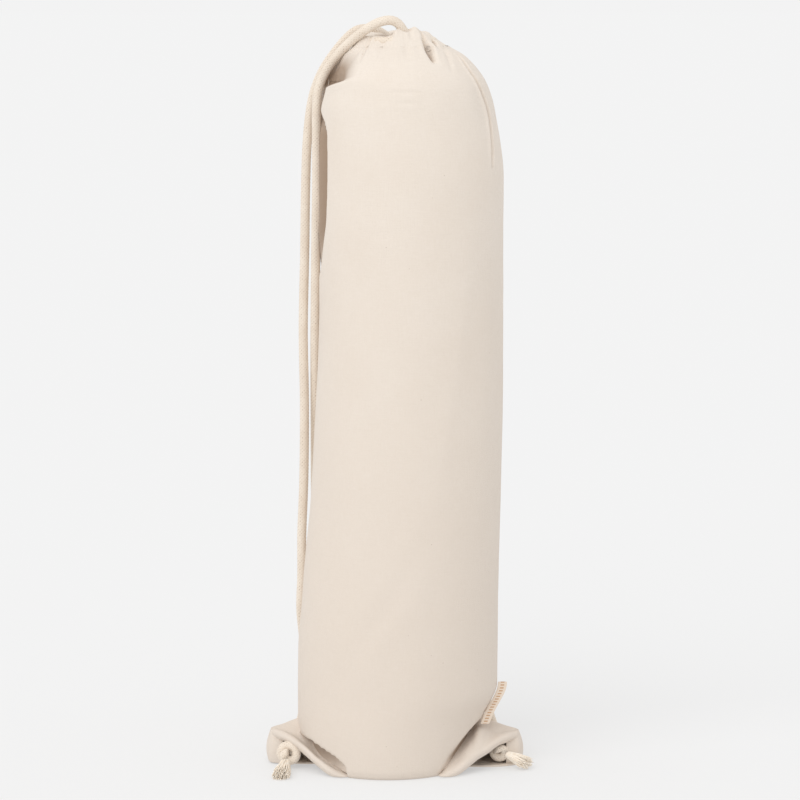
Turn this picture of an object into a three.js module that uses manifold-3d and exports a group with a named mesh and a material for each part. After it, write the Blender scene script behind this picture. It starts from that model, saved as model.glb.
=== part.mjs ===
// Drawstring yoga mat bag in natural cotton canvas, standing upright and filled to its round shape.
// Millimetres, +Z up, +X to the right of the front, -Y to the front.
// The origin is the middle of the base, on the floor.
import * as THREE from 'three';
import { mergeVertices } from 'three/addons/utils/BufferGeometryUtils.js';
import Module from 'manifold-3d';

const wasm = await Module();
wasm.setup();

// Driving sizes of the canvas body
const bodyWidth = 186;          // across the lower body, side seam to side seam
const bodyDepth = 174;          // front to back of the lower body
const rimHeight = 628;          // floor to the shoulder where the body turns in
const domeHeight = 38;          // shoulder to the stitch line of the drawstring tunnel
const clothWall = 1.6;          // canvas, two layers at the seams
const pieceGap = 0.3;           // clearance between pieces that touch

// Gathered drawstring tunnel
const gatherX = 2;              // the gather sits a little right of the base's middle
const tunnelHeight = 21;        // stitch line to the highest ruffle
const tunnelRadius = 36.5;      // outside of the tunnel between two ruffles
const mouthRadius = 14.2;       // widest that the mouth's pleats leave open
const ruffleDepth = 4.5;        // how far a pleat stands out at the stitch line
const rufflesFade = 0.7;        // share of that lost by the tunnel's top
const mouthPleats = 0.6;        // share of it that each pleat pushes into the mouth
const tunnelWall = 1.6;

// Cords
const cordDiameter = 8.5;
const cordPlay = 0.9;           // hole in the cloth larger than the cord, each side
const cordSides = 8;
const stepsPerCordPoint = 1.2;  // sides of the swept tube for each point of its route
const routeRim = 628;           // rimHeight that the cords' routes were laid out on

// Corner ears, where the flat bag's bottom corners stand out
const leftEarFoot = 49;         // from the middle to where the flap leaves the front bottom edge
const leftEarReach = 118;       // from the middle to the ear's tip
const leftEarHeight = 40;       // top of the ear's ridge at the body
const rightEarFoot = 43;
const rightEarReach = 112;
const rightEarHeight = 37;
const earSheet = 2;             // turned-over canvas of the ears
const bandBulge = 4.5;          // the ear's outer end bows out at mid height
const lipDepth = 2.5;           // cloth turned under along the flap's front fold
const lipDrop = 3.2;
const liftAtBack = 1.5;         // the back of the ear stays this far off the floor

// Knots and frayed ends
const leftKnotRadius = 10.6;
const rightKnotRadius = 9.3;
const leftKnotTilt = 24;        // degrees that each knot's turn leans
const rightKnotTilt = -38;
const knotCore = { x: 0.86, y: 0.84, z: 0.9 };  // the core as shares of the knot's radius
const leftTailLength = 34;
const rightTailLength = 24;
const tailLocks = 7;
const tailHead = 0.62;          // radius of a tail's round head, as a share of cordDiameter
const tailFlatness = 0.6;       // the locks spread less upward than sideways

// Side label, sewn into the right seam
const labelLength = 36;
const labelWidth = 9;
const labelThickness = 1;
const labelTop = { angle: -3, height: 76 };  // the seam there runs forward as it goes down
const labelFootAngle = -17;
const labelLean = { x: 1, y: 0.25, z: -0.05 };

// Grid counts
const aroundBody = 48;
const profilePoints = 9;
const earStations = 8;

const canvasColour = 0xe9dfd1;
const hemColour = 0xe6dbcc;
const cordColour = 0xddd0bf;
const tailColour = 0xe2d3bf;
const labelColour = 0xf0dfcb;

const degrees = THREE.MathUtils.degToRad;
const lerp = THREE.MathUtils.lerp;
const vec = (x, y, z) => new THREE.Vector3(x, y, z);
const table = (columns, rows) => rows.map(
  (row) => Object.fromEntries(columns.map((column, i) => [column, row[i]])),
);

// Body sections from the floor to the shoulder. rise is a share of rimHeight, left and right
// are shares of bodyWidth from the origin, front and back are shares of bodyDepth.
const bodySections = [
  { rise: 0.000, left: -0.440, right: 0.350, front: -0.445, back: 0.445 },
  { rise: 0.003, left: -0.470, right: 0.370, front: -0.475, back: 0.475 },
  { rise: 0.014, left: -0.490, right: 0.388, front: -0.498, back: 0.498 },
  { rise: 0.052, left: -0.500, right: 0.415, front: -0.502, back: 0.502 },
  { rise: 0.078, left: -0.501, right: 0.440, front: -0.501, back: 0.501 },
  { rise: 0.119, left: -0.501, right: 0.498, front: -0.500, back: 0.500 },
  { rise: 0.183, left: -0.499, right: 0.500, front: -0.498, back: 0.498 },
  { rise: 0.243, left: -0.482, right: 0.502, front: -0.495, back: 0.496 },
  { rise: 0.305, left: -0.466, right: 0.506, front: -0.492, back: 0.494 },
  { rise: 0.384, left: -0.441, right: 0.511, front: -0.490, back: 0.492 },
  { rise: 0.540, left: -0.411, right: 0.521, front: -0.485, back: 0.487 },
  { rise: 0.688, left: -0.388, right: 0.521, front: -0.480, back: 0.482 },
  { rise: 0.866, left: -0.385, right: 0.521, front: -0.472, back: 0.474 },
  { rise: 0.970, left: -0.380, right: 0.476, front: -0.448, back: 0.450 },
];

// Dome sections from the shoulder to the stitch line. rise is a share of domeHeight above
// rimHeight; left, right, front and back are the share of the way from the shoulder's
// outline (0) to the stitch line's outline (1).
const shoulder = { left: -0.372, right: 0.448, front: -0.431, back: 0.437 };
const domeSections = [
  { rise: 0.00, left: 0.00, right: 0.00, front: 0.00, back: 0.00 },
  { rise: 0.22, left: 0.11, right: 0.11, front: 0.09, back: 0.09 },
  { rise: 0.45, left: 0.34, right: 0.29, front: 0.27, back: 0.27 },
  { rise: 0.66, left: 0.56, right: 0.49, front: 0.49, back: 0.49 },
  { rise: 0.84, left: 0.79, right: 0.71, front: 0.73, back: 0.73 },
  { rise: 1.00, left: 1.00, right: 1.00, front: 1.00, back: 1.00 },
];

// Pleats of the gather. angle is the valley's direction, depth a share of ruffleDepth and
// spread its half-width in degrees.
const pleatValleys = [
  { angle: -168, depth: 0.60, spread: 7 },
  { angle: -144, depth: 0.90, spread: 7 },
  { angle: -120, depth: 0.50, spread: 6 },
  { angle: -90, depth: 0.80, spread: 7 },
  { angle: -48, depth: 1.30, spread: 8 },
  { angle: -18, depth: 0.70, spread: 7 },
  { angle: 12, depth: 0.90, spread: 7 },
  { angle: 42, depth: 0.80, spread: 7 },
  { angle: 66, depth: 0.90, spread: 6 },
  { angle: 90, depth: 0.70, spread: 7 },
  { angle: 120, depth: 1.00, spread: 7 },
  { angle: 150, depth: 0.80, spread: 7 },
];

// The gather's sides stand out further: direction and half-width in degrees, depth in mm
const gatherLobes = [
  { angle: -8, spread: 38, depth: 8 },
  { angle: -165, spread: 26, depth: 6 },
];

// Dents of the canvas. rise is a share of rimHeight, reach its half-height as a share of
// rimHeight, spread in degrees, depth a share of bodyWidth.
const dents = [
  { angle: -158, spread: 24, rise: 1.024, reach: 0.020, depth: 0.040 },
  { angle: -28, spread: 9, rise: 0.985, reach: 0.045, depth: 0.012 },
  { angle: 20, spread: 14, rise: 0.300, reach: 0.120, depth: 0.008 },
  { angle: 150, spread: 12, rise: 0.620, reach: 0.160, depth: 0.010 },
  { angle: 95, spread: 16, rise: 1.010, reach: 0.030, depth: 0.018 },
];

// Height of the tunnel's upper edge round the gather, as a share of tunnelHeight
const ruffleTops = [
  { angle: -180, rise: 0.72 },
  { angle: -150, rise: 0.58 },
  { angle: -120, rise: 0.60 },
  { angle: -102, rise: 0.80 },
  { angle: -78, rise: 0.92 },
  { angle: -60, rise: 1.00 },
  { angle: -36, rise: 0.82 },
  { angle: -6, rise: 0.66 },
  { angle: 24, rise: 0.78 },
  { angle: 60, rise: 0.70 },
  { angle: 96, rise: 0.84 },
  { angle: 132, rise: 0.74 },
  { angle: 156, rise: 0.86 },
  { angle: 180, rise: 0.72 },
];

// Ears from the flap's foot (along 0) to the tip (along 1). Across values are shares of
// half the bodyDepth, rises are shares of the ear's height. The flap runs from the ridge
// through the crease at the body to its front fold, and the lower layer lies on the floor.
const earColumns = [
  'along', 'ridge', 'ridgeRise', 'crease', 'creaseRise',
  'fold', 'foldRise', 'layer', 'back',
];
const leftEarRows = table(earColumns, [
  [0.00, 0.00, 0.95, -0.840, 0.10, -0.860, 0.05, -0.680, 0.71],
  [0.19, 0.02, 0.98, -0.765, 0.38, -0.825, 0.19, -0.400, 0.62],
  [0.38, 0.05, 1.00, -0.605, 0.56, -0.680, 0.32, -0.160, 0.51],
  [0.59, 0.07, 1.00, -0.240, 0.74, -0.500, 0.56, -0.150, 0.37],
  [0.72, 0.07, 0.95, -0.200, 0.72, -0.410, 0.69, -0.140, 0.29],
  [0.86, 0.06, 0.86, -0.130, 0.75, -0.290, 0.78, -0.110, 0.21],
  [1.00, 0.03, 0.80, -0.050, 0.77, -0.120, 0.79, -0.070, 0.11],
]);
const rightEarRows = table(earColumns, [
  [0.00, 0.00, 0.95, -0.790, 0.10, -0.850, 0.05, -0.600, 0.71],
  [0.19, 0.02, 1.00, -0.700, 0.54, -0.785, 0.21, -0.340, 0.62],
  [0.38, 0.05, 1.03, -0.570, 0.88, -0.645, 0.41, -0.280, 0.51],
  [0.60, 0.08, 1.04, -0.230, 0.80, -0.495, 0.60, -0.280, 0.37],
  [0.74, 0.08, 0.98, -0.150, 0.78, -0.400, 0.73, -0.280, 0.29],
  [0.88, 0.06, 0.92, -0.100, 0.81, -0.290, 0.83, -0.260, 0.20],
  [1.00, 0.03, 0.86, -0.050, 0.84, -0.160, 0.87, -0.220, 0.11],
]);

// Routes of the cords, chosen by hand. The left cord leaves its corner, climbs the outer
// strand, runs round the tunnel's inner side and comes back over the front as a loop.
const leftCordRoute = [
  [-106, -22.6, 13], [-106, -12, 12.6], [-104.5, 2, 12], [-104, 14, 12], [-102, 28, 12.5],
  [-97, 42, 17], [-91.5, 51, 32], [-89, 54, 60], [-89.5, 50, 100], [-92.3, 41, 138],
  [-91, 36, 171], [-90.8, 32, 208], [-88.5, 28, 264], [-87.6, 23, 339], [-88.5, 18, 404],
  [-86.9, 13.5, 479], [-86.2, 8.5, 544], [-84.2, 7, 581], [-80, 6, 613], [-75.4, 4, 631],
  [-67.6, 2, 648], [-56.4, 1, 664], [-47, 3, 675], [-37.8, 7, 682.4], [-28, 11.5, 683.8],
  [-20, 14.6, 682.4], [-12.6, 17.4, 678.2], [-6, 19.2, 673], [5, 20.3, 672.2], [14.5, 16.3, 672.2],
  [20.6, 8.5, 672.2], [22.3, -2, 672.2], [18.6, -12.2, 672.6], [13, -17.6, 675],
  [8.2, -20.4, 679.6], [5, -22, 684.6], [2.6, -23.4, 689.6], [-3.7, -24.5, 693.2],
  [-16.8, -22.5, 690.8], [-26.6, -20, 685.4], [-38, -17, 676.6], [-50, -13, 665.6],
  [-62, -10.5, 651.5], [-70.4, -7.5, 637], [-74.8, -5, 625], [-76.4, -2, 607], [-77, 2, 581],
  [-77.2, 6, 544], [-77.9, 12, 479], [-78.2, 20, 404], [-78, 29, 339], [-78, 38, 285],
  [-78, 47, 220], [-77, 58, 150], [-77, 63, 100], [-78, 65, 60], [-80.5, 61, 30], [-87, 48, 14.5],
  [-92.5, 32, 10.8], [-95, 16, 10.8], [-95.6, 0, 11], [-96.4, -12, 12], [-97, -22.6, 13],
];
const rightCordRoute = [
  [99.4, -12.4, 12.6], [100.5, -4, 12], [101.5, 10, 11.2], [100.5, 26, 11.2], [95.5, 40, 15],
  [88.5, 51, 30], [83, 58, 60], [79, 63, 120], [71, 72, 200], [62, 79, 300], [51, 84, 400],
  [41, 87, 470], [32, 88, 545], [27, 87, 590], [24, 84.5, 615], [22, 80.5, 634], [20, 74, 648],
  [18, 66, 658.5], [15.5, 56, 667], [13.5, 46, 672], [14, 36, 672.4], [20.5, 23.5, 672.2],
  [29.5, 11, 672.2], [32, -2, 672.2], [27, -16.6, 672.2], [16, -26.5, 672.2], [2, -30, 672.2],
  [-12, -26.5, 672.2], [-23, -16.6, 672.2], [-28, -2, 672.2], [-25.5, 11, 672.2],
  [-16.5, 23.5, 672.2], [-10, 36, 672.4], [-8.5, 46, 672], [-5, 56, 667], [1, 66, 659],
  [6, 74.5, 648.5], [10, 81, 634], [13, 85, 615], [16.5, 87.5, 590], [21.5, 89, 545],
  [30.5, 89, 470], [40, 88, 400], [51, 85, 300], [61, 79.5, 200], [69, 72, 120], [74, 67, 60],
  [78.5, 62, 29], [84.5, 49, 13.5], [90, 34, 11], [92.5, 18, 11], [92, 4, 11.2], [91, -12.4, 12.6],
];
const leftKnotPlace = [-101.6, -35, 12.4];
const rightKnotPlace = [94.2, -20.6, 12.4];
const leftTailStart = [-104.6, -43.4, 9.8];
const leftTailAim = [-112, -80, 4.6];
const rightTailStart = [102.8, -28.2, 12];
const rightTailAim = [126, -43, 7];

// Rows of a table blended at a place along one of its columns
function rowAt(table, column, place) {
  const last = table.length - 1;
  let i = 0;
  while (i < last - 1 && table[i + 1][column] < place) i += 1;
  const a = table[i];
  const b = table[i + 1];
  const share = THREE.MathUtils.clamp((place - a[column]) / (b[column] - a[column]), 0, 1);
  const row = {};
  for (const key of Object.keys(a)) row[key] = lerp(a[key], b[key], share);
  return row;
}

// Signed difference of two directions in degrees, from -180 to 180
function turnBetween(a, b) {
  return ((a - b + 540) % 360) - 180;
}

const bell = (distance, spread) => Math.exp(-((distance / spread) ** 2));

// How far the gather's cloth stands out at a direction, from 0 in a deep valley to 1
function pleatAt(angle) {
  let out = 1;
  for (const valley of pleatValleys) {
    out -= valley.depth * bell(turnBetween(angle, valley.angle), valley.spread);
  }
  return out;
}

function dentAt(angle, height) {
  let depth = 0;
  for (const dent of dents) {
    const around = bell(turnBetween(angle, dent.angle), dent.spread);
    depth += dent.depth * around * bell(height / rimHeight - dent.rise, dent.reach);
  }
  return depth * bodyWidth;
}

// Outline radius of the gather at the stitch line
function neckRadius(angle) {
  let radius = tunnelRadius + ruffleDepth * Math.max(pleatAt(angle), 0);
  for (const lobe of gatherLobes) {
    radius += lobe.depth * bell(turnBetween(angle, lobe.angle), lobe.spread);
  }
  return radius;
}

// The four reaches of the section at a height, in millimetres from the origin
function reachesAt(height) {
  const scaled = (row) => ({
    left: row.left * bodyWidth,
    right: row.right * bodyWidth,
    front: row.front * bodyDepth,
    back: row.back * bodyDepth,
  });
  if (height < rimHeight) {
    return scaled(rowAt([...bodySections, { rise: 1, ...shoulder }], 'rise', height / rimHeight));
  }
  const rim = scaled(shoulder);
  const share = rowAt(domeSections, 'rise', (height - rimHeight) / domeHeight);
  const neck = {
    left: gatherX - tunnelRadius,
    right: gatherX + tunnelRadius,
    front: -tunnelRadius,
    back: tunnelRadius,
  };
  const reaches = {};
  for (const key of Object.keys(rim)) reaches[key] = lerp(rim[key], neck[key], share[key]);
  return reaches;
}

// A point of the canvas body's outside
function bodyPoint(angle, height) {
  const { left, right, front, back } = reachesAt(height);
  const turn = degrees(angle);
  const middle = (left + right) / 2;
  const half = (right - left) / 2;
  const depth = Math.sin(turn) < 0 ? -front : back;
  const intoDome = THREE.MathUtils.clamp((height - rimHeight) / domeHeight, 0, 1);
  const standOut = (neckRadius(angle) - tunnelRadius) * intoDome ** 1.5 - dentAt(angle, height);
  return vec(
    middle + (half + standOut) * Math.cos(turn),
    (depth + standOut) * Math.sin(turn),
    height,
  );
}

function bodyNormal(angle, height) {
  const step = 0.5;
  const low = Math.max(height - step, 0);
  const high = Math.min(height + step, rimHeight + domeHeight);
  const around = bodyPoint(angle + step, height).sub(bodyPoint(angle - step, height));
  const up = bodyPoint(angle, high).sub(bodyPoint(angle, low));
  return around.cross(up).normalize();
}

// A closed geometry from points and triangles
function meshOf(points, faces) {
  const geometry = new THREE.BufferGeometry();
  const places = points.flatMap((p) => [p.x, p.y, p.z]);
  geometry.setAttribute('position', new THREE.Float32BufferAttribute(places, 3));
  geometry.setIndex(faces);
  return geometry;
}

// A surface through rings of equal count, closed by a pole at each end
function loft(rings, start, end) {
  const count = rings[0].length;
  const points = [start, ...rings.flat(), end];
  const at = (i, j) => 1 + i * count + (j % count);
  const faces = [];
  for (let j = 0; j < count; j += 1) {
    faces.push(0, at(0, j + 1), at(0, j));
    faces.push(points.length - 1, at(rings.length - 1, j), at(rings.length - 1, j + 1));
  }
  for (let i = 0; i + 1 < rings.length; i += 1) {
    for (let j = 0; j < count; j += 1) {
      faces.push(at(i, j), at(i, j + 1), at(i + 1, j + 1));
      faces.push(at(i, j), at(i + 1, j + 1), at(i + 1, j));
    }
  }
  return meshOf(points, faces);
}

// A surface through rings that follow each other round a closed loop
function ringLoft(rings) {
  const count = rings[0].length;
  const at = (i, j) => (i % rings.length) * count + (j % count);
  const faces = [];
  for (let i = 0; i < rings.length; i += 1) {
    for (let j = 0; j < count; j += 1) {
      faces.push(at(i, j), at(i + 1, j), at(i + 1, j + 1));
      faces.push(at(i, j), at(i + 1, j + 1), at(i, j + 1));
    }
  }
  return meshOf(rings.flat(), faces);
}

// A sheet of even thickness on a grid of rows
function thickSheet(grid, thickness) {
  const rows = grid.length;
  const cols = grid[0].length;
  const clampRow = (i) => THREE.MathUtils.clamp(i, 0, rows - 1);
  const clampCol = (j) => THREE.MathUtils.clamp(j, 0, cols - 1);
  const normalAt = (i, j) => {
    const along = grid[clampRow(i + 1)][j].clone().sub(grid[clampRow(i - 1)][j]);
    const across = grid[i][clampCol(j + 1)].clone().sub(grid[i][clampCol(j - 1)]);
    return along.cross(across).normalize();
  };
  const points = [];
  for (const side of [0.5, -0.5]) {
    for (let i = 0; i < rows; i += 1) {
      for (let j = 0; j < cols; j += 1) {
        points.push(grid[i][j].clone().addScaledVector(normalAt(i, j), side * thickness));
      }
    }
  }
  const top = (i, j) => i * cols + j;
  const under = (i, j) => rows * cols + top(i, j);
  const faces = [];
  const quad = (a, b, c, d) => faces.push(a, b, c, a, c, d);
  for (let i = 0; i + 1 < rows; i += 1) {
    for (let j = 0; j + 1 < cols; j += 1) {
      quad(top(i, j), top(i + 1, j), top(i + 1, j + 1), top(i, j + 1));
      quad(under(i, j), under(i, j + 1), under(i + 1, j + 1), under(i + 1, j));
    }
    quad(top(i, 0), under(i, 0), under(i + 1, 0), top(i + 1, 0));
    quad(top(i, cols - 1), top(i + 1, cols - 1), under(i + 1, cols - 1), under(i, cols - 1));
  }
  for (let j = 0; j + 1 < cols; j += 1) {
    quad(top(0, j), top(0, j + 1), under(0, j + 1), under(0, j));
    quad(top(rows - 1, j), under(rows - 1, j), under(rows - 1, j + 1), top(rows - 1, j + 1));
  }
  return meshOf(points, faces);
}

// A closed geometry as a solid for joining and cutting, turned outside out where needed
function solidOf(source) {
  const geometry = source.clone();
  geometry.deleteAttribute('normal');
  geometry.deleteAttribute('uv');
  const merged = mergeVertices(geometry, 1e-4);
  const vertProperties = new Float32Array(merged.attributes.position.array);
  const triVerts = new Uint32Array(merged.index.array);
  const solid = new wasm.Manifold(new wasm.Mesh({ numProp: 3, vertProperties, triVerts }));
  if (solid.volume() > 0) return solid;
  for (let i = 0; i < triVerts.length; i += 3) {
    [triVerts[i], triVerts[i + 1]] = [triVerts[i + 1], triVerts[i]];
  }
  return new wasm.Manifold(new wasm.Mesh({ numProp: 3, vertProperties, triVerts }));
}

function geometryOf(solid) {
  const { vertProperties, triVerts } = solid.getMesh();
  const geometry = new THREE.BufferGeometry();
  geometry.setAttribute('position', new THREE.Float32BufferAttribute(vertProperties, 3));
  geometry.setIndex([...triVerts]);
  return geometry;
}

// A cord's centreline, stepped by the points of its route, which lie closer where it bends.
// Its upper points keep their height over the shoulder.
class CordCurve extends THREE.CatmullRomCurve3 {
  constructor(route) {
    const taller = rimHeight - routeRim;
    const lift = (z) => z + taller * Math.min(z / routeRim, 1);
    super(route.map(([x, y, z]) => vec(x, y, lift(z))), false, 'centripetal');
  }

  getUtoTmapping(u) {
    return u;
  }
}

// A round section swept along a curve
function tube(curve, radius, steps, sides) {
  const section = new THREE.Shape();
  for (let k = 0; k < sides; k += 1) {
    const turn = (2 * Math.PI * (k + 0.5)) / sides;
    const x = radius * Math.cos(turn);
    const y = radius * Math.sin(turn);
    if (k === 0) section.moveTo(x, y);
    else section.lineTo(x, y);
  }
  section.closePath();
  return new THREE.ExtrudeGeometry(section, { steps, bevelEnabled: false, extrudePath: curve });
}

// The stretch of a cord's route near one place, as a hole slightly wider than the cord
function cordHole(route, from, to) {
  const stretch = new CordCurve(route.slice(from, to + 1));
  return solidOf(tube(stretch, cordDiameter / 2 + cordPlay, 2 * (to - from), cordSides));
}

function ringAt(height, inset) {
  const ring = [];
  const wallHeight = Math.max(height, rimHeight * bodySections[2].rise);
  for (let k = 0; k < aroundBody; k += 1) {
    const angle = (360 * k) / aroundBody - 180;
    const point = bodyPoint(angle, height);
    if (inset > 0) {
      point.addScaledVector(bodyNormal(angle, wallHeight), -inset);
      point.z = Math.max(point.z, inset);
    }
    ring.push(point);
  }
  return ring;
}

function bodyHeights() {
  const lower = bodySections.map((row) => row.rise * rimHeight);
  const upper = domeSections.map((row) => rimHeight + row.rise * domeHeight);
  return [...lower, ...upper];
}

// Heights of the inside's rings, which skip the tight curve at the floor
function insideHeights() {
  return bodyHeights().filter((height) => height === 0 || height > clothWall * 3);
}

// The canvas shell: one outside and one inside surface that meet at the neck
function bodyShell() {
  const outside = bodyHeights().map((height) => ringAt(height, 0));
  const inside = insideHeights().map((height) => ringAt(height, clothWall)).reverse();
  return solidOf(loft([...outside, ...inside], vec(0, 0, 0), vec(0, 0, clothWall)));
}

// The space inside the shell, which the ears must leave free
function bodyRoom() {
  const midWall = clothWall * 0.6;
  const rings = insideHeights().map((height) => ringAt(height, midWall));
  return solidOf(loft(rings, vec(0, 0, midWall), vec(gatherX, 0, rimHeight + domeHeight)));
}

// One station of an ear: from the lip under the front fold over the ridge to the floor
function earProfile(row, foot, reach, height, side) {
  const across = bodyDepth / 2;
  const out = side * lerp(foot, reach, row.along);
  const floor = earSheet / 2;
  const lipRise = Math.max(row.foldRise * height - lipDrop, floor + pieceGap);
  const midBack = lerp(row.ridge, row.back, 0.6);
  const underBack = lerp(row.back, row.layer, 0.2);
  const keys = [
    vec(out, row.fold * across + lipDepth, lipRise),
    vec(out, row.fold * across, row.foldRise * height),
    vec(out, row.crease * across, row.creaseRise * height),
    vec(out, row.ridge * across, row.ridgeRise * height),
    vec(out, midBack * across, row.ridgeRise * height / 2),
    vec(out, row.back * across, floor + liftAtBack),
    vec(out, underBack * across, floor),
    vec(out, row.layer * across, floor),
  ];
  return new THREE.CatmullRomCurve3(keys, false, 'centripetal').getPoints(profilePoints);
}

// The wall round the ear's outer end, from under the front fold to the back. Its plan follows
// the ear's last stretch, with each point's insets from the reach, the edge and the height.
const bandStart = 0.88;
const bandLevels = [0, 0.3, 0.65, 1];
function earBand(rows, foot, reach, height, side) {
  const tip = rows[rows.length - 1];
  const near = rowAt(rows, 'along', bandStart);
  const across = bodyDepth / 2;
  const nearX = lerp(foot, reach, near.along);
  const front = tip.fold * across;
  const back = tip.back * across;
  const plan = [
    { out: nearX, y: near.fold * across + 6, z: near.foldRise * height - 1 },
    { out: reach - 1.5, y: front - 2, z: tip.foldRise * height - 1 },
    { out: reach - 0.2, y: front + 2, z: tip.foldRise * height },
    { out: reach - 0.2, y: back - 2, z: tip.ridgeRise * height },
    { out: reach - 3, y: back + 4, z: tip.ridgeRise * height * 0.8 },
  ].map(({ out, y, z }) => vec(side * out, y, z));
  const edge = new THREE.CatmullRomCurve3(plan, false, 'centripetal').getPoints(earStations);
  const outward = (p) => vec(p.x - side * nearX, p.y, 0).normalize();
  // The wall bows out most below mid height and not at all where it meets the flap
  const bulgeAt = (level) => bandBulge * Math.sin(Math.PI * lerp(0.2, 1, level));
  return edge.map((p) => bandLevels.map((level) => {
    const q = p.clone().addScaledVector(outward(p), bulgeAt(level));
    q.z = p.z * level;
    return q;
  }));
}

function ear(rows, foot, reach, height, side) {
  const grid = [];
  for (let i = 0; i <= earStations; i += 1) {
    grid.push(earProfile(rowAt(rows, 'along', i / earStations), foot, reach, height, side));
  }
  const flap = solidOf(thickSheet(grid, earSheet));
  const band = solidOf(thickSheet(earBand(rows, foot, reach, height, side), earSheet));
  const underFloor = new THREE.BoxGeometry(3 * bodyWidth, 3 * bodyDepth, 4 * earSheet);
  underFloor.translate(0, 0, -2 * earSheet);
  return flap.add(band).subtract(solidOf(underFloor)).subtract(bodyRoom());
}

function bagBody() {
  const left = ear(leftEarRows, leftEarFoot, leftEarReach, leftEarHeight, -1);
  const right = ear(rightEarRows, rightEarFoot, rightEarReach, rightEarHeight, 1);
  let body = bodyShell().add(left).add(right);
  for (const [route, from, to] of [
    [leftCordRoute, 0, 7],
    [leftCordRoute, leftCordRoute.length - 8, leftCordRoute.length - 1],
    [rightCordRoute, 0, 6],
    [rightCordRoute, rightCordRoute.length - 7, rightCordRoute.length - 1],
  ]) body = body.subtract(cordHole(route, from, to));
  return geometryOf(body);
}

// Section of the gathered tunnel at one direction, set in by a wall for its hollow
function tunnelSection(angle, inset) {
  const turn = degrees(angle);
  const foot = rimHeight + domeHeight + pieceGap + inset;
  const top = foot - inset + rowAt(ruffleTops, 'angle', angle).rise * tunnelHeight - inset;
  const outer = neckRadius(angle) - inset;
  const upper = lerp(outer, tunnelRadius - inset, rufflesFade);
  const closing = mouthPleats * ruffleDepth * Math.max(1 - pleatAt(angle), 0);
  const inner = mouthRadius - closing + inset;
  const tall = top - foot;
  const profile = [
    [outer, foot],
    [lerp(outer, upper, 0.4), foot + tall * 0.35],
    [upper, foot + tall * 0.8],
    [lerp(upper, inner, 0.2), top],
    [lerp(upper, inner, 0.8), top],
    [inner, foot + tall * 0.8],
    [inner, foot],
  ];
  return profile.map(([r, z]) => vec(gatherX + r * Math.cos(turn), r * Math.sin(turn), z));
}

function tunnelRing(inset) {
  const rings = [];
  for (let k = 0; k < aroundBody; k += 1) {
    rings.push(tunnelSection((360 * k) / aroundBody - 180, inset));
  }
  return solidOf(ringLoft(rings));
}

function tunnelHem() {
  let hem = tunnelRing(0).subtract(tunnelRing(tunnelWall));
  for (const [route, from, to] of [
    [leftCordRoute, 20, 28],
    [leftCordRoute, 32, 42],
    [rightCordRoute, 18, 23],
    [rightCordRoute, 29, 35],
  ]) hem = hem.subtract(cordHole(route, from, to));
  return geometryOf(hem);
}

// A knot of two cord ends: one turn of cord round a full core
function knot(radius, tilt) {
  const cordRadius = cordDiameter / 2;
  const core = new THREE.SphereGeometry(radius, 11, 6);
  core.scale(knotCore.x, knotCore.y, knotCore.z);
  const turn = new THREE.TorusGeometry(radius - knotCore.x * cordRadius, cordRadius, 7, 13);
  turn.rotateX(Math.PI / 2);
  turn.rotateY(degrees(tilt));
  return geometryOf(solidOf(core).add(solidOf(turn)));
}

// Frayed end of the cords: locks that fan out from a round head, from start towards end.
// ahead is a share of the tail's length, radius of the head's radius, and fan is how far
// along its own spread a lock has come.
const tailCore = [
  { ahead: 0, radius: 0 },
  { ahead: 0.02, radius: 0.85 },
  { ahead: 0.3, radius: 1 },
  { ahead: 0.5, radius: 0.8 },
  { ahead: 0.62, radius: 0 },
];
const tailLock = [
  { ahead: 0.1, radius: 0, fan: 0.2 },
  { ahead: 0.2, radius: 0.3, fan: 0.4 },
  { ahead: 0.55, radius: 0.46, fan: 0.72 },
  { ahead: 0.82, radius: 0.4, fan: 0.9 },
  { ahead: 1, radius: 0, fan: 0.98 },
];
function frayedTail(start, end, length) {
  const headRadius = cordDiameter * tailHead;
  const lockSides = 5;
  const forward = end.clone().sub(start).normalize();
  const aside = forward.clone().cross(vec(0, 0, 1)).normalize();
  const up = aside.clone().cross(forward);
  const strand = (stations, turn, reach) => {
    const middles = stations.map(({ ahead, fan = 0 }) => start.clone()
      .addScaledVector(forward, ahead * reach)
      .addScaledVector(aside, headRadius * fan * Math.cos(turn))
      .addScaledVector(up, headRadius * fan * tailFlatness * Math.sin(turn)));
    const rings = stations.slice(1, -1).map(({ radius }, i) => {
      const ring = [];
      for (let k = 0; k < lockSides; k += 1) {
        const around = (2 * Math.PI * k) / lockSides;
        ring.push(middles[i + 1].clone()
          .addScaledVector(aside, headRadius * radius * Math.cos(around))
          .addScaledVector(up, headRadius * radius * Math.sin(around)));
      }
      return ring;
    });
    return solidOf(loft(rings, middles[0], middles[middles.length - 1]));
  };
  let tail = strand(tailCore, 0, length);
  for (let k = 0; k < tailLocks; k += 1) {
    const reach = length * (0.86 + 0.14 * Math.cos(3.1 * k));
    tail = tail.add(strand(tailLock, (2 * Math.PI * k) / tailLocks, reach));
  }
  return geometryOf(tail);
}

// Folded label sewn into the right side seam, which runs forward as it nears the ear
function sideLabel() {
  const lean = vec(labelLean.x, labelLean.y, labelLean.z).normalize();
  const away = pieceGap + labelThickness * 0.75;
  const steps = 5;
  const grid = [];
  for (let i = 0; i <= steps; i += 1) {
    const angle = lerp(labelTop.angle, labelFootAngle, i / steps);
    const height = labelTop.height - labelLength * (i / steps);
    const seam = bodyPoint(angle, height).addScaledVector(bodyNormal(angle, height), away);
    grid.push([0, 0.5, 1].map((share) => seam.clone().addScaledVector(lean, share * labelWidth)));
  }
  return thickSheet(grid, labelThickness);
}

const group = new THREE.Group();

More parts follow.
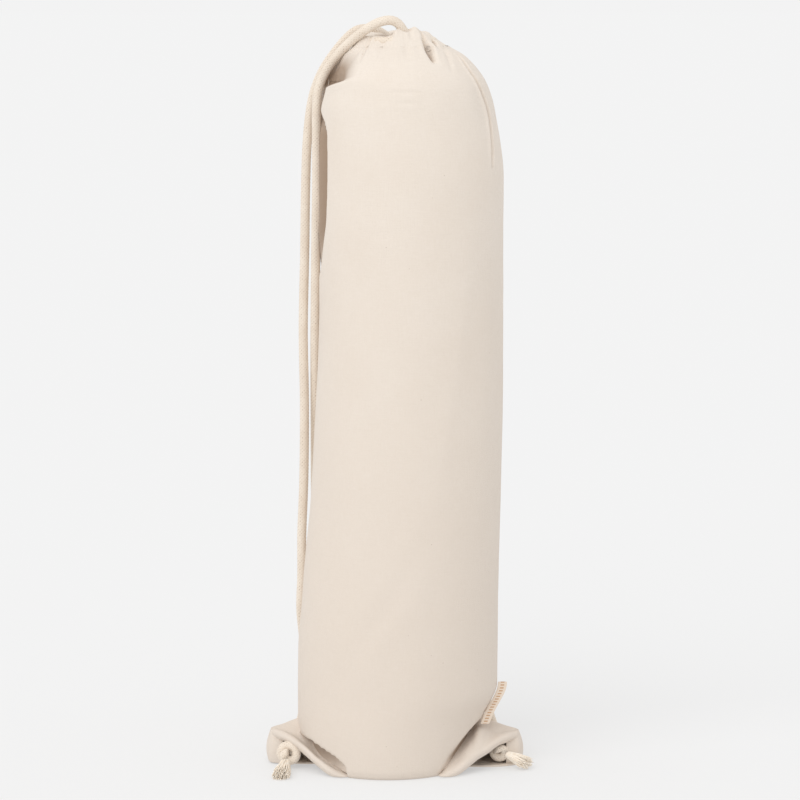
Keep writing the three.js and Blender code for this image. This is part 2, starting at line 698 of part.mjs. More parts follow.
function addPiece(name, geometry, colour, roughness) {
  geometry.computeVertexNormals();
  const material = new THREE.MeshStandardMaterial({ color: colour, roughness, metalness: 0 });
  const mesh = new THREE.Mesh(geometry, material);
  mesh.name = name;
  group.add(mesh);
  return mesh;
}

addPiece('bag_body', bagBody(), canvasColour, 0.95);
addPiece('tunnel_hem', tunnelHem(), hemColour, 0.95);

for (const [name, route] of [['left_cord', leftCordRoute], ['right_cord', rightCordRoute]]) {
  const steps = Math.round(stepsPerCordPoint * (route.length - 1));
  addPiece(name, tube(new CordCurve(route), cordDiameter / 2, steps, cordSides), cordColour, 0.9);
}

const leftKnot = addPiece('left_knot', knot(leftKnotRadius, leftKnotTilt), cordColour, 0.9);
leftKnot.position.set(...leftKnotPlace);
const rightKnot = addPiece('right_knot', knot(rightKnotRadius, rightKnotTilt), cordColour, 0.9);
rightKnot.position.set(...rightKnotPlace);

const leftTail = frayedTail(vec(...leftTailStart), vec(...leftTailAim), leftTailLength);
addPiece('left_tail', leftTail, tailColour, 1);
const rightTail = frayedTail(vec(...rightTailStart), vec(...rightTailAim), rightTailLength);
addPiece('right_tail', rightTail, tailColour, 1);

addPiece('side_label', sideLabel(), labelColour, 0.7);

export default group;
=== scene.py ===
import math

import bpy
import numpy as np
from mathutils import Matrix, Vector, noise


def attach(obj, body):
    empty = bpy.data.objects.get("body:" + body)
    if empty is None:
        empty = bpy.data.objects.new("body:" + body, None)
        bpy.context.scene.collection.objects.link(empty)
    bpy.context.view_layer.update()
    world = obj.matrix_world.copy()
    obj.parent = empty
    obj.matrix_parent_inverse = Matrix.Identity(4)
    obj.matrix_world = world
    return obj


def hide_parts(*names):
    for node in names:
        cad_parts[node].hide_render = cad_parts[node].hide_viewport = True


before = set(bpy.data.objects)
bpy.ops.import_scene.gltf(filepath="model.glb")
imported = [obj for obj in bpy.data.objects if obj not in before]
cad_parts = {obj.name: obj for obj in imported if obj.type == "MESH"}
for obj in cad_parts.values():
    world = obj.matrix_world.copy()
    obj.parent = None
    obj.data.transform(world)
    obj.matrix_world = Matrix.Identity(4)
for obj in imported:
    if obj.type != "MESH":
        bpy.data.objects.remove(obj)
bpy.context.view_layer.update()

# Upright drawstring yoga mat bag in natural cotton canvas, filled to its round shape.
# Sizes in this script are in millimetres and degrees, and MM turns them into metres.
MM = 0.001

CAMERA_PLACE = (1.9, -3000, 700)
CAMERA_AIM = (1.9, 0, 341)
LENS = 146.4


def add_camera():
    data = bpy.data.cameras.new("camera")
    data.lens = LENS
    data.sensor_width = 36
    data.clip_end = 3000
    camera = bpy.data.objects.new("camera", data)
    bpy.context.scene.collection.objects.link(camera)
    place = Vector(CAMERA_PLACE) * MM
    camera.location = place
    camera.rotation_mode = "QUATERNION"
    camera.rotation_quaternion = (Vector(CAMERA_AIM) * MM - place).to_track_quat("-Z", "Y")
    bpy.context.scene.camera = camera


add_camera()


def smooth(xs, ys, x):
    """Monotone cubic through a table's column."""
    xs, ys, x = (np.asarray(v, float) for v in (xs, ys, x))
    h = np.diff(xs)
    slope = np.diff(ys) / h
    m = np.zeros_like(ys)
    m[1:-1] = np.where(
        slope[:-1] * slope[1:] > 0,
        2 * slope[:-1] * slope[1:] / np.where(slope[:-1] + slope[1:] == 0, 1, slope[:-1] + slope[1:]),
        0,
    )
    m[0], m[-1] = slope[0], slope[-1]
    x = np.clip(x, xs[0], xs[-1])
    i = np.clip(np.searchsorted(xs, x) - 1, 0, len(xs) - 2)
    t = (x - xs[i]) / h[i]
    return (
        (2 * t**3 - 3 * t**2 + 1) * ys[i]
        + (t**3 - 2 * t**2 + t) * h[i] * m[i]
        + (3 * t**2 - 2 * t**3) * ys[i + 1]
        + (t**3 - t**2) * h[i] * m[i + 1]
    )


def bell(distance, spread):
    return np.exp(-((distance / spread) ** 2))


def turn_between(a, b):
    return (a - b + 540) % 360 - 180


def ramp(x, low, high):
    t = np.clip((x - low) / (high - low), 0, 1)
    return t * t * (3 - 2 * t)


def lerp(a, b, t):
    return a + (b - a) * t


def between(u, low, high, a, b):
    return (high - u) / (high - low) * a + (u - low) / (high - low) * b


def through(points, step):
    """Points every step along a centripetal curve through a short list of points."""
    p = np.asarray(points, float)
    p = np.vstack([2 * p[0] - p[1], p, 2 * p[-1] - p[-2]])
    samples = []
    t = np.linspace(0, 1, 24, endpoint=False)[:, None]
    for i in range(1, len(p) - 2):
        q = p[i - 1 : i + 3]
        k = np.concatenate([[0], np.cumsum(np.sqrt(np.linalg.norm(np.diff(q, axis=0), axis=1)))])
        u = lerp(k[1], k[2], t)
        near = [between(u, k[j], k[j + 1], q[j], q[j + 1]) for j in range(3)]
        wide = [between(u, k[j], k[j + 2], near[j], near[j + 1]) for j in range(2)]
        samples.append(between(u, k[1], k[2], *wide))
    samples.append(p[-2][None])
    line = np.vstack(samples)
    length = np.concatenate([[0], np.cumsum(np.linalg.norm(np.diff(line, axis=0), axis=1))])
    places = np.linspace(0, length[-1], max(int(round(length[-1] / step)), 2) + 1)
    return np.stack([np.interp(places, length, line[:, k]) for k in range(3)], axis=1)


def relaxed(line, reach):
    """The line with its small wobbles evened out over a number of points, ends kept."""
    offsets = np.arange(-3 * reach, 3 * reach + 1)
    weights = np.exp(-0.5 * (offsets / reach) ** 2)
    weights /= weights.sum()
    padded = np.vstack([
        2 * line[0] - line[1 : 3 * reach + 1][::-1], line, 2 * line[-1] - line[-3 * reach - 1 : -1][::-1],
    ])
    return np.stack([np.convolve(padded[:, k], weights, "valid") for k in range(3)], axis=1)


def mesh_object(name, points, quads, uvs=None, material=None, tris=None):
    """A mesh from points in millimetres and arrays of faces. uvs are in metres, one per point."""
    quads = np.zeros((0, 4), int) if quads is None else np.asarray(quads)
    tris = np.zeros((0, 3), int) if tris is None else np.asarray(tris)
    mesh = bpy.data.meshes.new(name)
    mesh.vertices.add(len(points))
    mesh.vertices.foreach_set("co", (np.asarray(points, float) * MM).astype(np.float32).ravel())
    corners = np.concatenate([quads.ravel(), tris.ravel()]).astype(np.int32)
    totals = np.concatenate([np.full(len(quads), 4), np.full(len(tris), 3)])
    mesh.loops.add(len(corners))
    mesh.loops.foreach_set("vertex_index", corners)
    mesh.polygons.add(len(totals))
    mesh.polygons.foreach_set("loop_start", np.concatenate([[0], np.cumsum(totals)[:-1]]).astype(np.int32))
    mesh.polygons.foreach_set("loop_total", totals.astype(np.int32))
    mesh.polygons.foreach_set("use_smooth", np.full(len(totals), True))
    if uvs is not None:
        layer = mesh.uv_layers.new(name="cloth")
        layer.data.foreach_set("uv", np.asarray(uvs, np.float32)[corners].ravel())
    mesh.update(calc_edges=True)
    mesh.validate()
    obj = bpy.data.objects.new(name, mesh)
    bpy.context.scene.collection.objects.link(obj)
    if material is not None:
        mesh.materials.append(material)
    return obj


def grid_quads(rows, cols, wrap=False, first=0):
    """Faces of a grid of points, row after row, closed across its columns if wrapped."""
    i, j = np.meshgrid(np.arange(rows - 1), np.arange(cols if wrap else cols - 1), indexing="ij")
    k = (j + 1) % cols
    at = lambda a, b: first + a * cols + b
    return np.stack([at(i, j), at(i, k), at(i + 1, k), at(i + 1, j)], axis=-1).reshape(-1, 4)


def end_fans(rows, cols):
    """Faces from a wrapped grid's first and last rows to the two points that follow it."""
    k = np.arange(cols)
    after, last = rows * cols, (rows - 1) * cols
    return np.vstack([
        np.stack([np.full(cols, after), (k + 1) % cols, k], axis=1),
        np.stack([np.full(cols, after + 1), last + k, last + (k + 1) % cols], axis=1),
    ])


def point_values(obj, name, values):
    """Gives the mesh's first points a value each, and the rest none."""
    whole = np.zeros(len(obj.data.vertices), np.float32)
    whole[: values.size] = values.ravel()
    obj.data.attributes.new(name, "FLOAT", "POINT").data.foreach_set("value", whole)


def grid_normals(grid, wrap):
    """Unit normals of a grid of points shaped rows, columns, 3."""
    along = np.gradient(grid, axis=0)
    if wrap:
        across = np.roll(grid, -1, axis=1) - np.roll(grid, 1, axis=1)
    else:
        across = np.gradient(grid, axis=1)
    normal = np.cross(across, along)
    return normal / np.maximum(np.linalg.norm(normal, axis=2, keepdims=True), 1e-9)


def placed(obj, slot, *nodes):
    """The piece rides on the bag and stands for its CAD solids."""
    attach(obj, "root")
    if nodes:
        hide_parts(*nodes)
    return obj


class Nodes:
    """Short calls for a material's node tree."""

    def __init__(self, name):
        self.material = bpy.data.materials.new(name)
        self.material.use_nodes = True
        self.tree = self.material.node_tree
        self.shader = self.tree.nodes["Principled BSDF"]

    def add(self, kind, **values):
        node = self.tree.nodes.new("ShaderNode" + kind)
        for key, value in values.items():
            setattr(node, key, value)
        return node

    def link(self, a, b):
        self.tree.links.new(a, b)

    def math(self, operation, a, b=None):
        node = self.add("Math", operation=operation)
        for socket, value in zip(node.inputs, (a, b)):
            if value is None:
                continue
            if isinstance(value, (int, float)):
                socket.default_value = value
            else:
                self.link(value, socket)
        return node.outputs[0]

    def settings(self, values):
        for name, value in values.items():
            self.shader.inputs[name].default_value = value

    def scaled(self, vector, scale):
        node = self.add("Mapping")
        node.inputs["Scale"].default_value = scale
        self.link(vector, node.inputs["Vector"])
        return node.outputs[0]

    def noise(self, vector, scale, detail=3, roughness=0.5):
        node = self.add("TexNoise")
        node.inputs["Scale"].default_value = scale
        node.inputs["Detail"].default_value = detail
        node.inputs["Roughness"].default_value = roughness
        self.link(vector, node.inputs["Vector"])
        return node.outputs["Fac"]

    def mapped(self, value, low, high, to_low, to_high):
        node = self.add("MapRange")
        node.inputs["From Min"].default_value = low
        node.inputs["From Max"].default_value = high
        node.inputs["To Min"].default_value = to_low
        node.inputs["To Max"].default_value = to_high
        self.link(value, node.inputs["Value"])
        return node.outputs[0]

    def mixed(self, factor, a, b):
        node = self.add("Mix", data_type="RGBA")
        for socket, value in zip((node.inputs[0], node.inputs[6], node.inputs[7]), (factor, a, b)):
            if isinstance(value, (int, float, tuple)):
                socket.default_value = value
            else:
                self.link(value, socket)
        return node.outputs[2]

    def bump(self, height, strength, distance, under=None):
        node = self.add("Bump")
        node.inputs["Strength"].default_value = strength
        node.inputs["Distance"].default_value = distance
        self.link(height, node.inputs["Height"])
        if under is not None:
            self.link(under, node.inputs["Normal"])
        return node.outputs[0]


def colour(red, green, blue):
    """A linear colour from the eye's 0 to 255 scale."""
    def line(c):
        c /= 255
        return c / 12.92 if c < 0.04045 else ((c + 0.055) / 1.055) ** 2.4
    return (line(red), line(green), line(blue), 1.0)


THREAD_PITCH = 0.00062      # metres between threads of the canvas
CANVAS_BASE, CANVAS_WARM = colour(235, 225, 214), colour(232, 221, 209)
CANVAS_LOW_SHADE = colour(221, 209, 197)      # painted shade: darker towards the floor, where less light falls
LOW_SHADE_REACH = (0.05, 0.62)                # metres up over which that fades
SLUB_TONE, GRAIN_TONE = colour(214, 200, 182), colour(205, 190, 172)
# Husk flecks are the cloth's own; the second tone is painted shade for folds and hollows
HUSK_TONE, HOLLOW_SHADE_TONE = colour(142, 112, 82), colour(148, 122, 98)
HUSK_SHARE = 0.10
HOLLOW_SHADE_REACH = (1.0, 10.0)              # depth in a fold over which the painted shade darkens the cloth, in millimetres


def canvas_material():
    n = Nodes("cotton_canvas")
    uv = n.add("UVMap", uv_map="cloth").outputs[0]
    where = n.add("TexCoord").outputs["Object"]
    split = n.add("SeparateXYZ")
    n.link(uv, split.inputs[0])
    turns = 2 * math.pi / (2 * THREAD_PITCH)
    warp = n.math("SINE", n.math("MULTIPLY", split.outputs[0], turns))
    weft = n.math("SINE", n.math("MULTIPLY", split.outputs[1], turns))
    crossing = n.math("MULTIPLY", warp, weft)
    # Uneven yarns: long thin streaks both ways, and flecks of seed husk
    slub_across = n.noise(n.scaled(uv, (70, 1300, 1)), 1.0, 2)
    slub_up = n.noise(n.scaled(uv, (1300, 60, 1)), 1.0, 2)
    slubs = n.math("ADD", slub_across, slub_up)
    mottle = n.noise(where, 14, 4)
    grain = n.noise(where, 420, 3, 0.7)
    fleck_cells = n.add("TexVoronoi", feature="F1")
    fleck_cells.inputs["Scale"].default_value = 1.0
    n.link(n.scaled(where, (95, 95, 150)), fleck_cells.inputs["Vector"])
    near = n.mapped(fleck_cells.outputs["Distance"], 0.035, 0.065, 1, 0)
    rare = n.add("SeparateColor")
    n.link(fleck_cells.outputs["Color"], rare.inputs[0])
    chosen = n.math("GREATER_THAN", rare.outputs[0], 1 - HUSK_SHARE)
    flecks = n.math("MULTIPLY", n.math("MULTIPLY", near, chosen), 0.42)
    cloth = n.mixed(n.mapped(mottle, 0.35, 0.65, 0, 1), CANVAS_BASE, CANVAS_WARM)
    # Painted shade: the cloth darkens towards the floor
    tall = n.add("SeparateXYZ")
    n.link(where, tall.inputs[0])
    cloth = n.mixed(n.mapped(tall.outputs[2], *LOW_SHADE_REACH, 0.9, 0), cloth, CANVAS_LOW_SHADE)
    cloth = n.mixed(n.mapped(slubs, 0.7, 1.3, 0, 0.16), cloth, SLUB_TONE)
    cloth = n.mixed(n.mapped(grain, 0.3, 0.7, 0, 0.10), cloth, GRAIN_TONE)
    cloth = n.mixed(flecks, cloth, HUSK_TONE)
    # Painted shade in folds, hollows and down the mouth, where little light reaches
    hollow_shade = n.add("Attribute", attribute_name="hollow_shade").outputs["Fac"]
    cloth = n.mixed(n.mapped(hollow_shade, *HOLLOW_SHADE_REACH, 0, 0.85), cloth, HOLLOW_SHADE_TONE)
    n.link(cloth, n.shader.inputs["Base Color"])
    n.link(n.mapped(slubs, 0.7, 1.3, 0.86, 0.98), n.shader.inputs["Roughness"])
    n.settings({"Specular IOR Level": 0.25, "Sheen Weight": 0.12, "Sheen Roughness": 0.6})
    soft = n.bump(slubs, 0.35, 0.0005)
    soft = n.bump(grain, 0.30, 0.0004, soft)
    n.link(n.bump(crossing, 0.35, 0.00018, soft), n.shader.inputs["Normal"])
    return n.material


CORD_BASE, CORD_DARK = colour(240, 229, 215), colour(231, 217, 201)
# The second tone is painted shade for the gaps between strands
STRAND_TONE, GAP_SHADE_TONE = colour(205, 188, 168), colour(158, 136, 112)


def cord_material():
    n = Nodes("cotton_braid")
    where = n.add("TexCoord").outputs["Object"]
    strands = n.noise(where, 900, 3, 0.7)
    mottle = n.noise(where, 60, 3)
    relief = n.add("Attribute", attribute_name="relief").outputs["Fac"]
    tone = n.mixed(n.mapped(mottle, 0.35, 0.65, 0, 0.7), CORD_BASE, CORD_DARK)
    tone = n.mixed(n.mapped(strands, 0.3, 0.7, 0, 0.30), tone, STRAND_TONE)
    # Painted shade in the low gaps where strands cross, patchy here and there
    patchy = n.mapped(n.noise(where, 330, 2), 0.42, 0.62, 0.15, 0.75)
    gap_shade = n.math("MULTIPLY", n.mapped(relief, 0.05, 0.55, 1, 0), patchy)
    tone = n.mixed(gap_shade, tone, GAP_SHADE_TONE)
    n.link(tone, n.shader.inputs["Base Color"])
    n.settings({"Roughness": 0.92, "Specular IOR Level": 0.2, "Sheen Weight": 0.2})
    n.link(n.bump(strands, 0.5, 0.0004), n.shader.inputs["Normal"])
    return n.material


LABEL_BARS = 0.0030         # metres between the woven bars along the tape
LABEL_BAND = (0.0026, 0.0062)   # the bars' reach over the tape's width
LABEL_BASE, LABEL_DARK, BAR_TONE = colour(234, 218, 201), colour(220, 202, 182), colour(190, 140, 92)


def label_material():
    n = Nodes("label_tape")
    uv = n.add("UVMap", uv_map="cloth").outputs[0]
    split = n.add("SeparateXYZ")
    n.link(uv, split.inputs[0])
    along, across = split.outputs[0], split.outputs[1]
    satin = n.noise(n.scaled(uv, (400, 3000, 1)), 1.0, 2)
    wave = n.math("SINE", n.math("MULTIPLY", along, 2 * math.pi / LABEL_BARS))
    bars = n.mapped(wave, 0.0, 0.35, 0, 0.8)
    past_low, short_of_high = (
        n.math(kind, across, edge) for kind, edge in zip(("GREATER_THAN", "LESS_THAN"), LABEL_BAND)
    )
    inside = n.math("MULTIPLY", past_low, short_of_high)
    tone = n.mixed(n.mapped(satin, 0.3, 0.7, 0, 0.35), LABEL_BASE, LABEL_DARK)
    tone = n.mixed(n.math("MULTIPLY", bars, inside), tone, BAR_TONE)
    n.link(tone, n.shader.inputs["Base Color"])
    n.settings({"Roughness": 0.6, "Sheen Weight": 0.2})
    n.link(n.bump(satin, 0.3, 0.0002), n.shader.inputs["Normal"])
    return n.material


FIBRE_LIGHT, FIBRE_DARK = colour(252, 244, 232), colour(246, 234, 218)


def fibre_material():
    n = Nodes("cotton_fibre")
    where = n.add("TexCoord").outputs["Object"]
    strands = n.noise(where, 300, 2)
    tone = n.mixed(n.mapped(strands, 0.35, 0.65, 0, 1), FIBRE_LIGHT, FIBRE_DARK)
    n.link(tone, n.shader.inputs["Base Color"])
    n.settings({"Roughness": 0.85, "Specular IOR Level": 0.2})
    return n.material


CANVAS = canvas_material()
CORD = cord_material()
FIBRE = fibre_material()
LABEL = label_material()

CORD_DIAMETER = 8.5
LEFT_ROUTE = [
    (-106, -22.6, 13), (-106, -12, 12.6), (-104.5, 2, 12), (-104, 14, 12), (-102, 28, 12.5),
    (-97, 42, 17), (-91.5, 51, 32), (-89, 54, 60), (-89.5, 50, 100), (-92.3, 41, 138), (-91, 36, 171),
    (-90.8, 32, 208), (-88.5, 28, 264), (-87.6, 23, 339), (-88.3, 18, 404), (-86.5, 13.5, 479),
    (-85.2, 8.5, 544), (-83.6, 6, 581), (-80, 6, 613), (-75.4, 4, 631), (-67.6, 2, 648),
    (-56.4, 1, 664), (-47, 3, 675), (-37.8, 7, 682.4), (-28, 11.5, 683.8), (-20, 14.6, 682.4),
    (-12.6, 17.4, 678.2), (-6, 19.2, 673), (5, 20.3, 672.2), (14.5, 16.3, 672.2), (20.6, 8.5, 672.2),
    (22.3, -2, 672.2), (18.6, -12.2, 672.6), (13, -17.6, 675), (6.6, -20.4, 679.2), (3.6, -22, 684.2),
    (0.4, -23.4, 688.6), (-5.4, -24.5, 691.6), (-16.8, -22.5, 689.8), (-26.6, -20, 684.6),
    (-38, -17, 676.6), (-50, -13, 665.6), (-62, -10.5, 651.5), (-70.2, -7.5, 637), (-73.6, -8, 625),
    (-74.7, -8, 607), (-74.7, -7, 581), (-74.8, -4, 544), (-75.8, 3, 492), (-77.2, 16, 404),
    (-77.7, 28, 339), (-78, 38, 285), (-78, 47, 220), (-77, 58, 150), (-77, 63, 100), (-78, 65, 60),
    (-80.5, 61, 30), (-87, 48, 14.5), (-92.5, 32, 10.8), (-95, 16, 10.8), (-95.6, 0, 11),
    (-96.4, -12, 12), (-97, -22.6, 13),
]
RIGHT_ROUTE = [
    (99.4, -12.4, 12.6), (100.5, -4, 12), (101.5, 10, 11.2), (100.5, 26, 11.2), (95.5, 40, 15),
    (88.5, 51, 30), (83, 58, 60), (79, 63, 120), (71, 72, 200), (62, 79, 300), (51, 84, 400),
    (41, 87, 470), (32, 88, 545), (27, 87, 590), (24, 84.5, 615), (22, 80.5, 634), (20, 74, 648),
    (18, 66, 658.5), (15.5, 56, 667), (13.5, 46, 672), (14, 36, 672.4), (20.5, 23.5, 672.2),
    (29.5, 11, 672.2), (32, -2, 672.2), (27, -16.6, 672.2), (16, -26.5, 672.2), (2, -30, 672.2),
    (-12, -26.5, 672.2), (-23, -16.6, 672.2), (-28, -2, 672.2), (-25.5, 11, 672.2),
    (-16.5, 23.5, 672.2), (-10, 36, 672.4), (-8.5, 46, 672), (-5, 56, 667), (1, 66, 659),
    (6, 74.5, 648.5), (10, 81, 634), (13, 85, 615), (16.5, 87.5, 590), (21.5, 89, 545),
    (30.5, 89, 470), (40, 88, 400), (51, 85, 300), (61, 79.5, 200), (69, 72, 120), (74, 67, 60),
    (78.5, 62, 29), (84.5, 49, 13.5), (90, 34, 11), (92.5, 18, 11), (92, 4, 11.2), (91, -12.4, 12.6),
]
BRAID_STRANDS = 8           # each way round
CORD_SIDES = 28
CORD_STEP = 0.65
BRAID_DEPTH = 0.5


def frames_along(line):
    """Sideways and upward directions carried along a line without twist."""
    tangent = np.gradient(line, axis=0)
    tangent /= np.linalg.norm(tangent, axis=1, keepdims=True)
    side = np.zeros_like(line)
    start = np.cross(tangent[0], (0, 0, 1.0))
    if np.linalg.norm(start) < 0.2:
        start = np.cross(tangent[0], (0, 1.0, 0))
    side[0] = start / np.linalg.norm(start)
    for i in range(1, len(line)):
        s = side[i - 1] - tangent[i] * side[i - 1].dot(tangent[i])
        side[i] = s / np.linalg.norm(s)
    return side, np.cross(tangent, side)


def braid_tube(name, line, radius, step):
    """A round cord of braided strands that cross over and under each other."""
    side, up = frames_along(line)
    theta = np.arange(CORD_SIDES) * 2 * math.pi / CORD_SIDES
    run = np.arange(len(line)) * step
    pitch = BRAID_STRANDS / radius
    a = BRAID_STRANDS * theta[None] + pitch * run[:, None]
    b = BRAID_STRANDS * theta[None] - pitch * run[:, None]
    over = 0.5 + 0.5 * np.cos((a + b) / 2) * np.cos((a - b) / 2)
    first = (0.5 + 0.5 * np.cos(a)) ** 0.7 * (0.45 + 0.55 * over)
    second = (0.5 + 0.5 * np.cos(b)) ** 0.7 * (0.45 + 0.55 * (1 - over))
    relief = np.maximum(first, second) * BRAID_DEPTH
    reach = radius - BRAID_DEPTH * 0.6 + relief
    outward = side[:, None] * np.cos(theta)[None, :, None] + up[:, None] * np.sin(theta)[None, :, None]
    points = line[:, None] + reach[..., None] * outward
    quads = grid_quads(len(line), CORD_SIDES, wrap=True)
    points = np.vstack([points.reshape(-1, 3), line[0], line[-1]])
    obj = mesh_object(name, points, quads, material=CORD, tris=end_fans(len(line), CORD_SIDES))
    point_values(obj, "relief", np.append(relief.ravel() / BRAID_DEPTH, [0.5, 0.5]))
    return obj


def cord_line(route):
    return relaxed(through(route, CORD_STEP), 5)


left_line = cord_line(LEFT_ROUTE)
right_line = cord_line(RIGHT_ROUTE)
left_cord, right_cord = (
    placed(braid_tube(f"{node}_braid", line, CORD_DIAMETER / 2, CORD_STEP), "cord", node)
    for node, line in (("left_cord", left_line), ("right_cord", right_line))
)


KNOT_STEP = 0.6
KNOT_TURNS = 1.35
KNOT_STATIONS = 15
# The knot's turn closes in towards its middle: share of the turn and of the knot's size
KNOT_REACH = ([0, 0.6, 0.85, 1], [0.62, 0.60, 0.34, 0.12])
# and it comes forward: share of the turn, millimetres
KNOT_FORWARD = ([0, 0.45, 1], [-4.5, 0, 4.2])


def knot(name, place, size, start_turn, clockwise, node):
    """The cord's ends tied off: one full turn that winds in to its middle, towards the front."""
    t = np.linspace(0, 1, KNOT_STATIONS)
    sense = -1 if clockwise else 1
    turn = np.radians(start_turn + sense * 360 * KNOT_TURNS * t)
    reach = size * np.interp(t, *KNOT_REACH)
    forward = np.interp(t, *KNOT_FORWARD)
    line = np.stack([reach * np.cos(turn), -forward, reach * np.sin(turn)], axis=1) + np.array(place)
    line = relaxed(through(line, KNOT_STEP), 3)
    obj = braid_tube(name, line, CORD_DIAMETER / 2 * 0.98, KNOT_STEP)
    return placed(obj, "cord", node)


left_knot = knot("left_knot_turn", (-101.6, -35.0, 14.2), 12.2, 235, True, "left_knot")
right_knot = knot("right_knot_turn", (94.6, -21.6, 12.8), 9.2, 60, False, "right_knot")


FIBRES, FIBRE_STATIONS, FIBRE_SIDES = 300, 8, 4
FIBRE_RADIUS = 0.44         # of a few cotton yarns that cling together
FIBRE_TAPER = ([0, 0.7, 1], [1, 0.9, 0.45])
TAIL_FLATNESS = 0.62        # the fibres spread less upward than sideways
FLOOR_CLEARANCE = 0.35


def frayed_end(name, start, aim, length, width, seed, node):
    """Unlaid cotton: many fine wavy fibres that fan out from the cord's end."""
    rng = np.random.default_rng(seed)
    start, aim = np.array(start, float), np.array(aim, float)
    forward = (aim - start) / np.linalg.norm(aim - start)
    aside = np.cross(forward, (0, 0, 1.0))
    aside /= np.linalg.norm(aside)
    up = np.cross(aside, forward)
    points, quads, tris = [], [], []
    share = np.linspace(0, 1, FIBRE_STATIONS)
    for f in range(FIBRES):
        turn = rng.uniform(0, 2 * math.pi)
        spread = math.sqrt(rng.uniform(0, 1))
        reach = length * rng.uniform(0.72, 1.0) * (1 - 0.12 * spread)
        root = spread * CORD_DIAMETER * 0.46
        tip = spread * width * 0.5
        away = lerp(root, tip, share**0.8)
        wave = rng.uniform(0.25, 0.8) * np.sin(share * rng.uniform(4, 9) + rng.uniform(0, 6)) * share
        wave_up = rng.uniform(0.2, 0.6) * np.sin(share * rng.uniform(4, 9) + rng.uniform(0, 6)) * share
        line = (
            start
            + forward * (reach * share)[:, None]
            + aside * (away * math.cos(turn) + wave)[:, None]
            + up * (away * TAIL_FLATNESS * math.sin(turn) + wave_up)[:, None]
        )
        line[:, 2] = np.maximum(line[:, 2], FLOOR_CLEARANCE)
        thick = FIBRE_RADIUS * np.interp(share, *FIBRE_TAPER)
        around = np.arange(FIBRE_SIDES) * 2 * math.pi / FIBRE_SIDES + turn
        outward = aside * np.cos(around)[:, None] + up * np.sin(around)[:, None]
        points.append((line[:, None] + thick[:, None, None] * outward[None]).reshape(-1, 3))
        first = f * FIBRE_STATIONS * FIBRE_SIDES
        tip_ring = first + (FIBRE_STATIONS - 1) * FIBRE_SIDES
        quads.append(grid_quads(FIBRE_STATIONS, FIBRE_SIDES, wrap=True, first=first))
        tris.append([[tip_ring + k for k in trio] for trio in ((0, 1, 2), (0, 2, 3))])
    obj = mesh_object(name, np.vstack(points), np.vstack(quads), material=FIBRE, tris=np.vstack(tris))
    return placed(obj, "cord", node)


left_tail = frayed_end("left_frayed_end", (-104.2, -43.0, 8.4), (-108.5, -84, 1.6), 45, 18, 11, "left_tail")
right_tail = frayed_end("right_frayed_end", (102.0, -28.4, 12.0), (126, -44, 4), 28, 18, 12, "right_tail")


BODY_WIDTH, BODY_DEPTH = 186, 174
RIM_HEIGHT, DOME_HEIGHT = 628, 38
GATHER_X, TUNNEL_RADIUS, RUFFLE_DEPTH = 2, 36.5, 4.5
CLOTH_WALL = 1.6

# Columns: rise, left, right, front, back. The rise is a share of the rim's height, the
# reaches are shares of the width and depth.
SECTIONS = np.array([
    (0.000, -0.460, 0.360, -0.470, 0.462),
    (0.003, -0.480, 0.374, -0.487, 0.482),
    (0.014, -0.494, 0.390, -0.500, 0.499),
    (0.052, -0.500, 0.415, -0.502, 0.502),
    (0.078, -0.501, 0.440, -0.501, 0.501),
    (0.119, -0.501, 0.498, -0.500, 0.500),
    (0.183, -0.499, 0.500, -0.498, 0.498),
    (0.243, -0.482, 0.502, -0.495, 0.496),
    (0.305, -0.466, 0.506, -0.492, 0.494),
    (0.384, -0.441, 0.511, -0.490, 0.492),
    (0.540, -0.411, 0.521, -0.485, 0.487),
    (0.688, -0.388, 0.521, -0.480, 0.482),
    (0.866, -0.393, 0.521, -0.472, 0.474),
    (0.970, -0.388, 0.476, -0.448, 0.450),
    (1.000, -0.372, 0.448, -0.431, 0.437),
])
# The same columns: a share of the dome's height, and shares of the way in to the stitch line
DOME = np.array([
    (0.22, 0.03, 0.11, 0.09, 0.09),
    (0.45, 0.18, 0.29, 0.27, 0.27),
    (0.66, 0.42, 0.49, 0.49, 0.49),
    (0.84, 0.68, 0.71, 0.73, 0.73),
    (1.00, 1.00, 1.00, 1.00, 1.00),
])


def reach_table():
    scale = np.array([BODY_WIDTH, BODY_WIDTH, BODY_DEPTH, BODY_DEPTH])
    lower = SECTIONS[:, 1:] * scale
    neck = np.array([GATHER_X - TUNNEL_RADIUS, GATHER_X + TUNNEL_RADIUS, -TUNNEL_RADIUS, TUNNEL_RADIUS])
    upper = lerp(lower[-1], neck, DOME[:, 1:])
    heights = np.concatenate([SECTIONS[:, 0] * RIM_HEIGHT, RIM_HEIGHT + DOME[:, 0] * DOME_HEIGHT])
    return heights, np.vstack([lower, upper])


REACH_HEIGHTS, REACHES = reach_table()

# Valleys of the gather: direction, depth as a share of the ruffle depth, half-width in
# degrees, and how sharply the valley fades down the dome
VALLEYS = [
    (-172, 0.70, 7, 1.4), (-144, 0.75, 6, 2.2), (-118, 0.22, 8, 3.0), (-84, 0.35, 7, 2.6),
    (-66, 0.25, 5, 3.0), (-38, 0.35, 4, 2.4), (-18, 0.60, 7, 2.0),
    (-2, 0.45, 5, 2.2), (14, 0.95, 6, 1.4), (30, 0.50, 5, 2.0), (44, 0.90, 6, 1.5),
    (60, 0.70, 5, 1.8), (74, 1.00, 6, 1.4), (92, 0.80, 6, 1.6), (106, 0.60, 5, 2.0),
    (121, 1.10, 6, 1.4), (138, 0.60, 5, 2.0), (153, 0.95, 6, 1.5), (170, 0.55, 5, 2.0),
]
# The gather's sides stand out further: direction, reach, spread
LOBES = [(-8, 8.0, 38), (-165, 6.5, 26)]
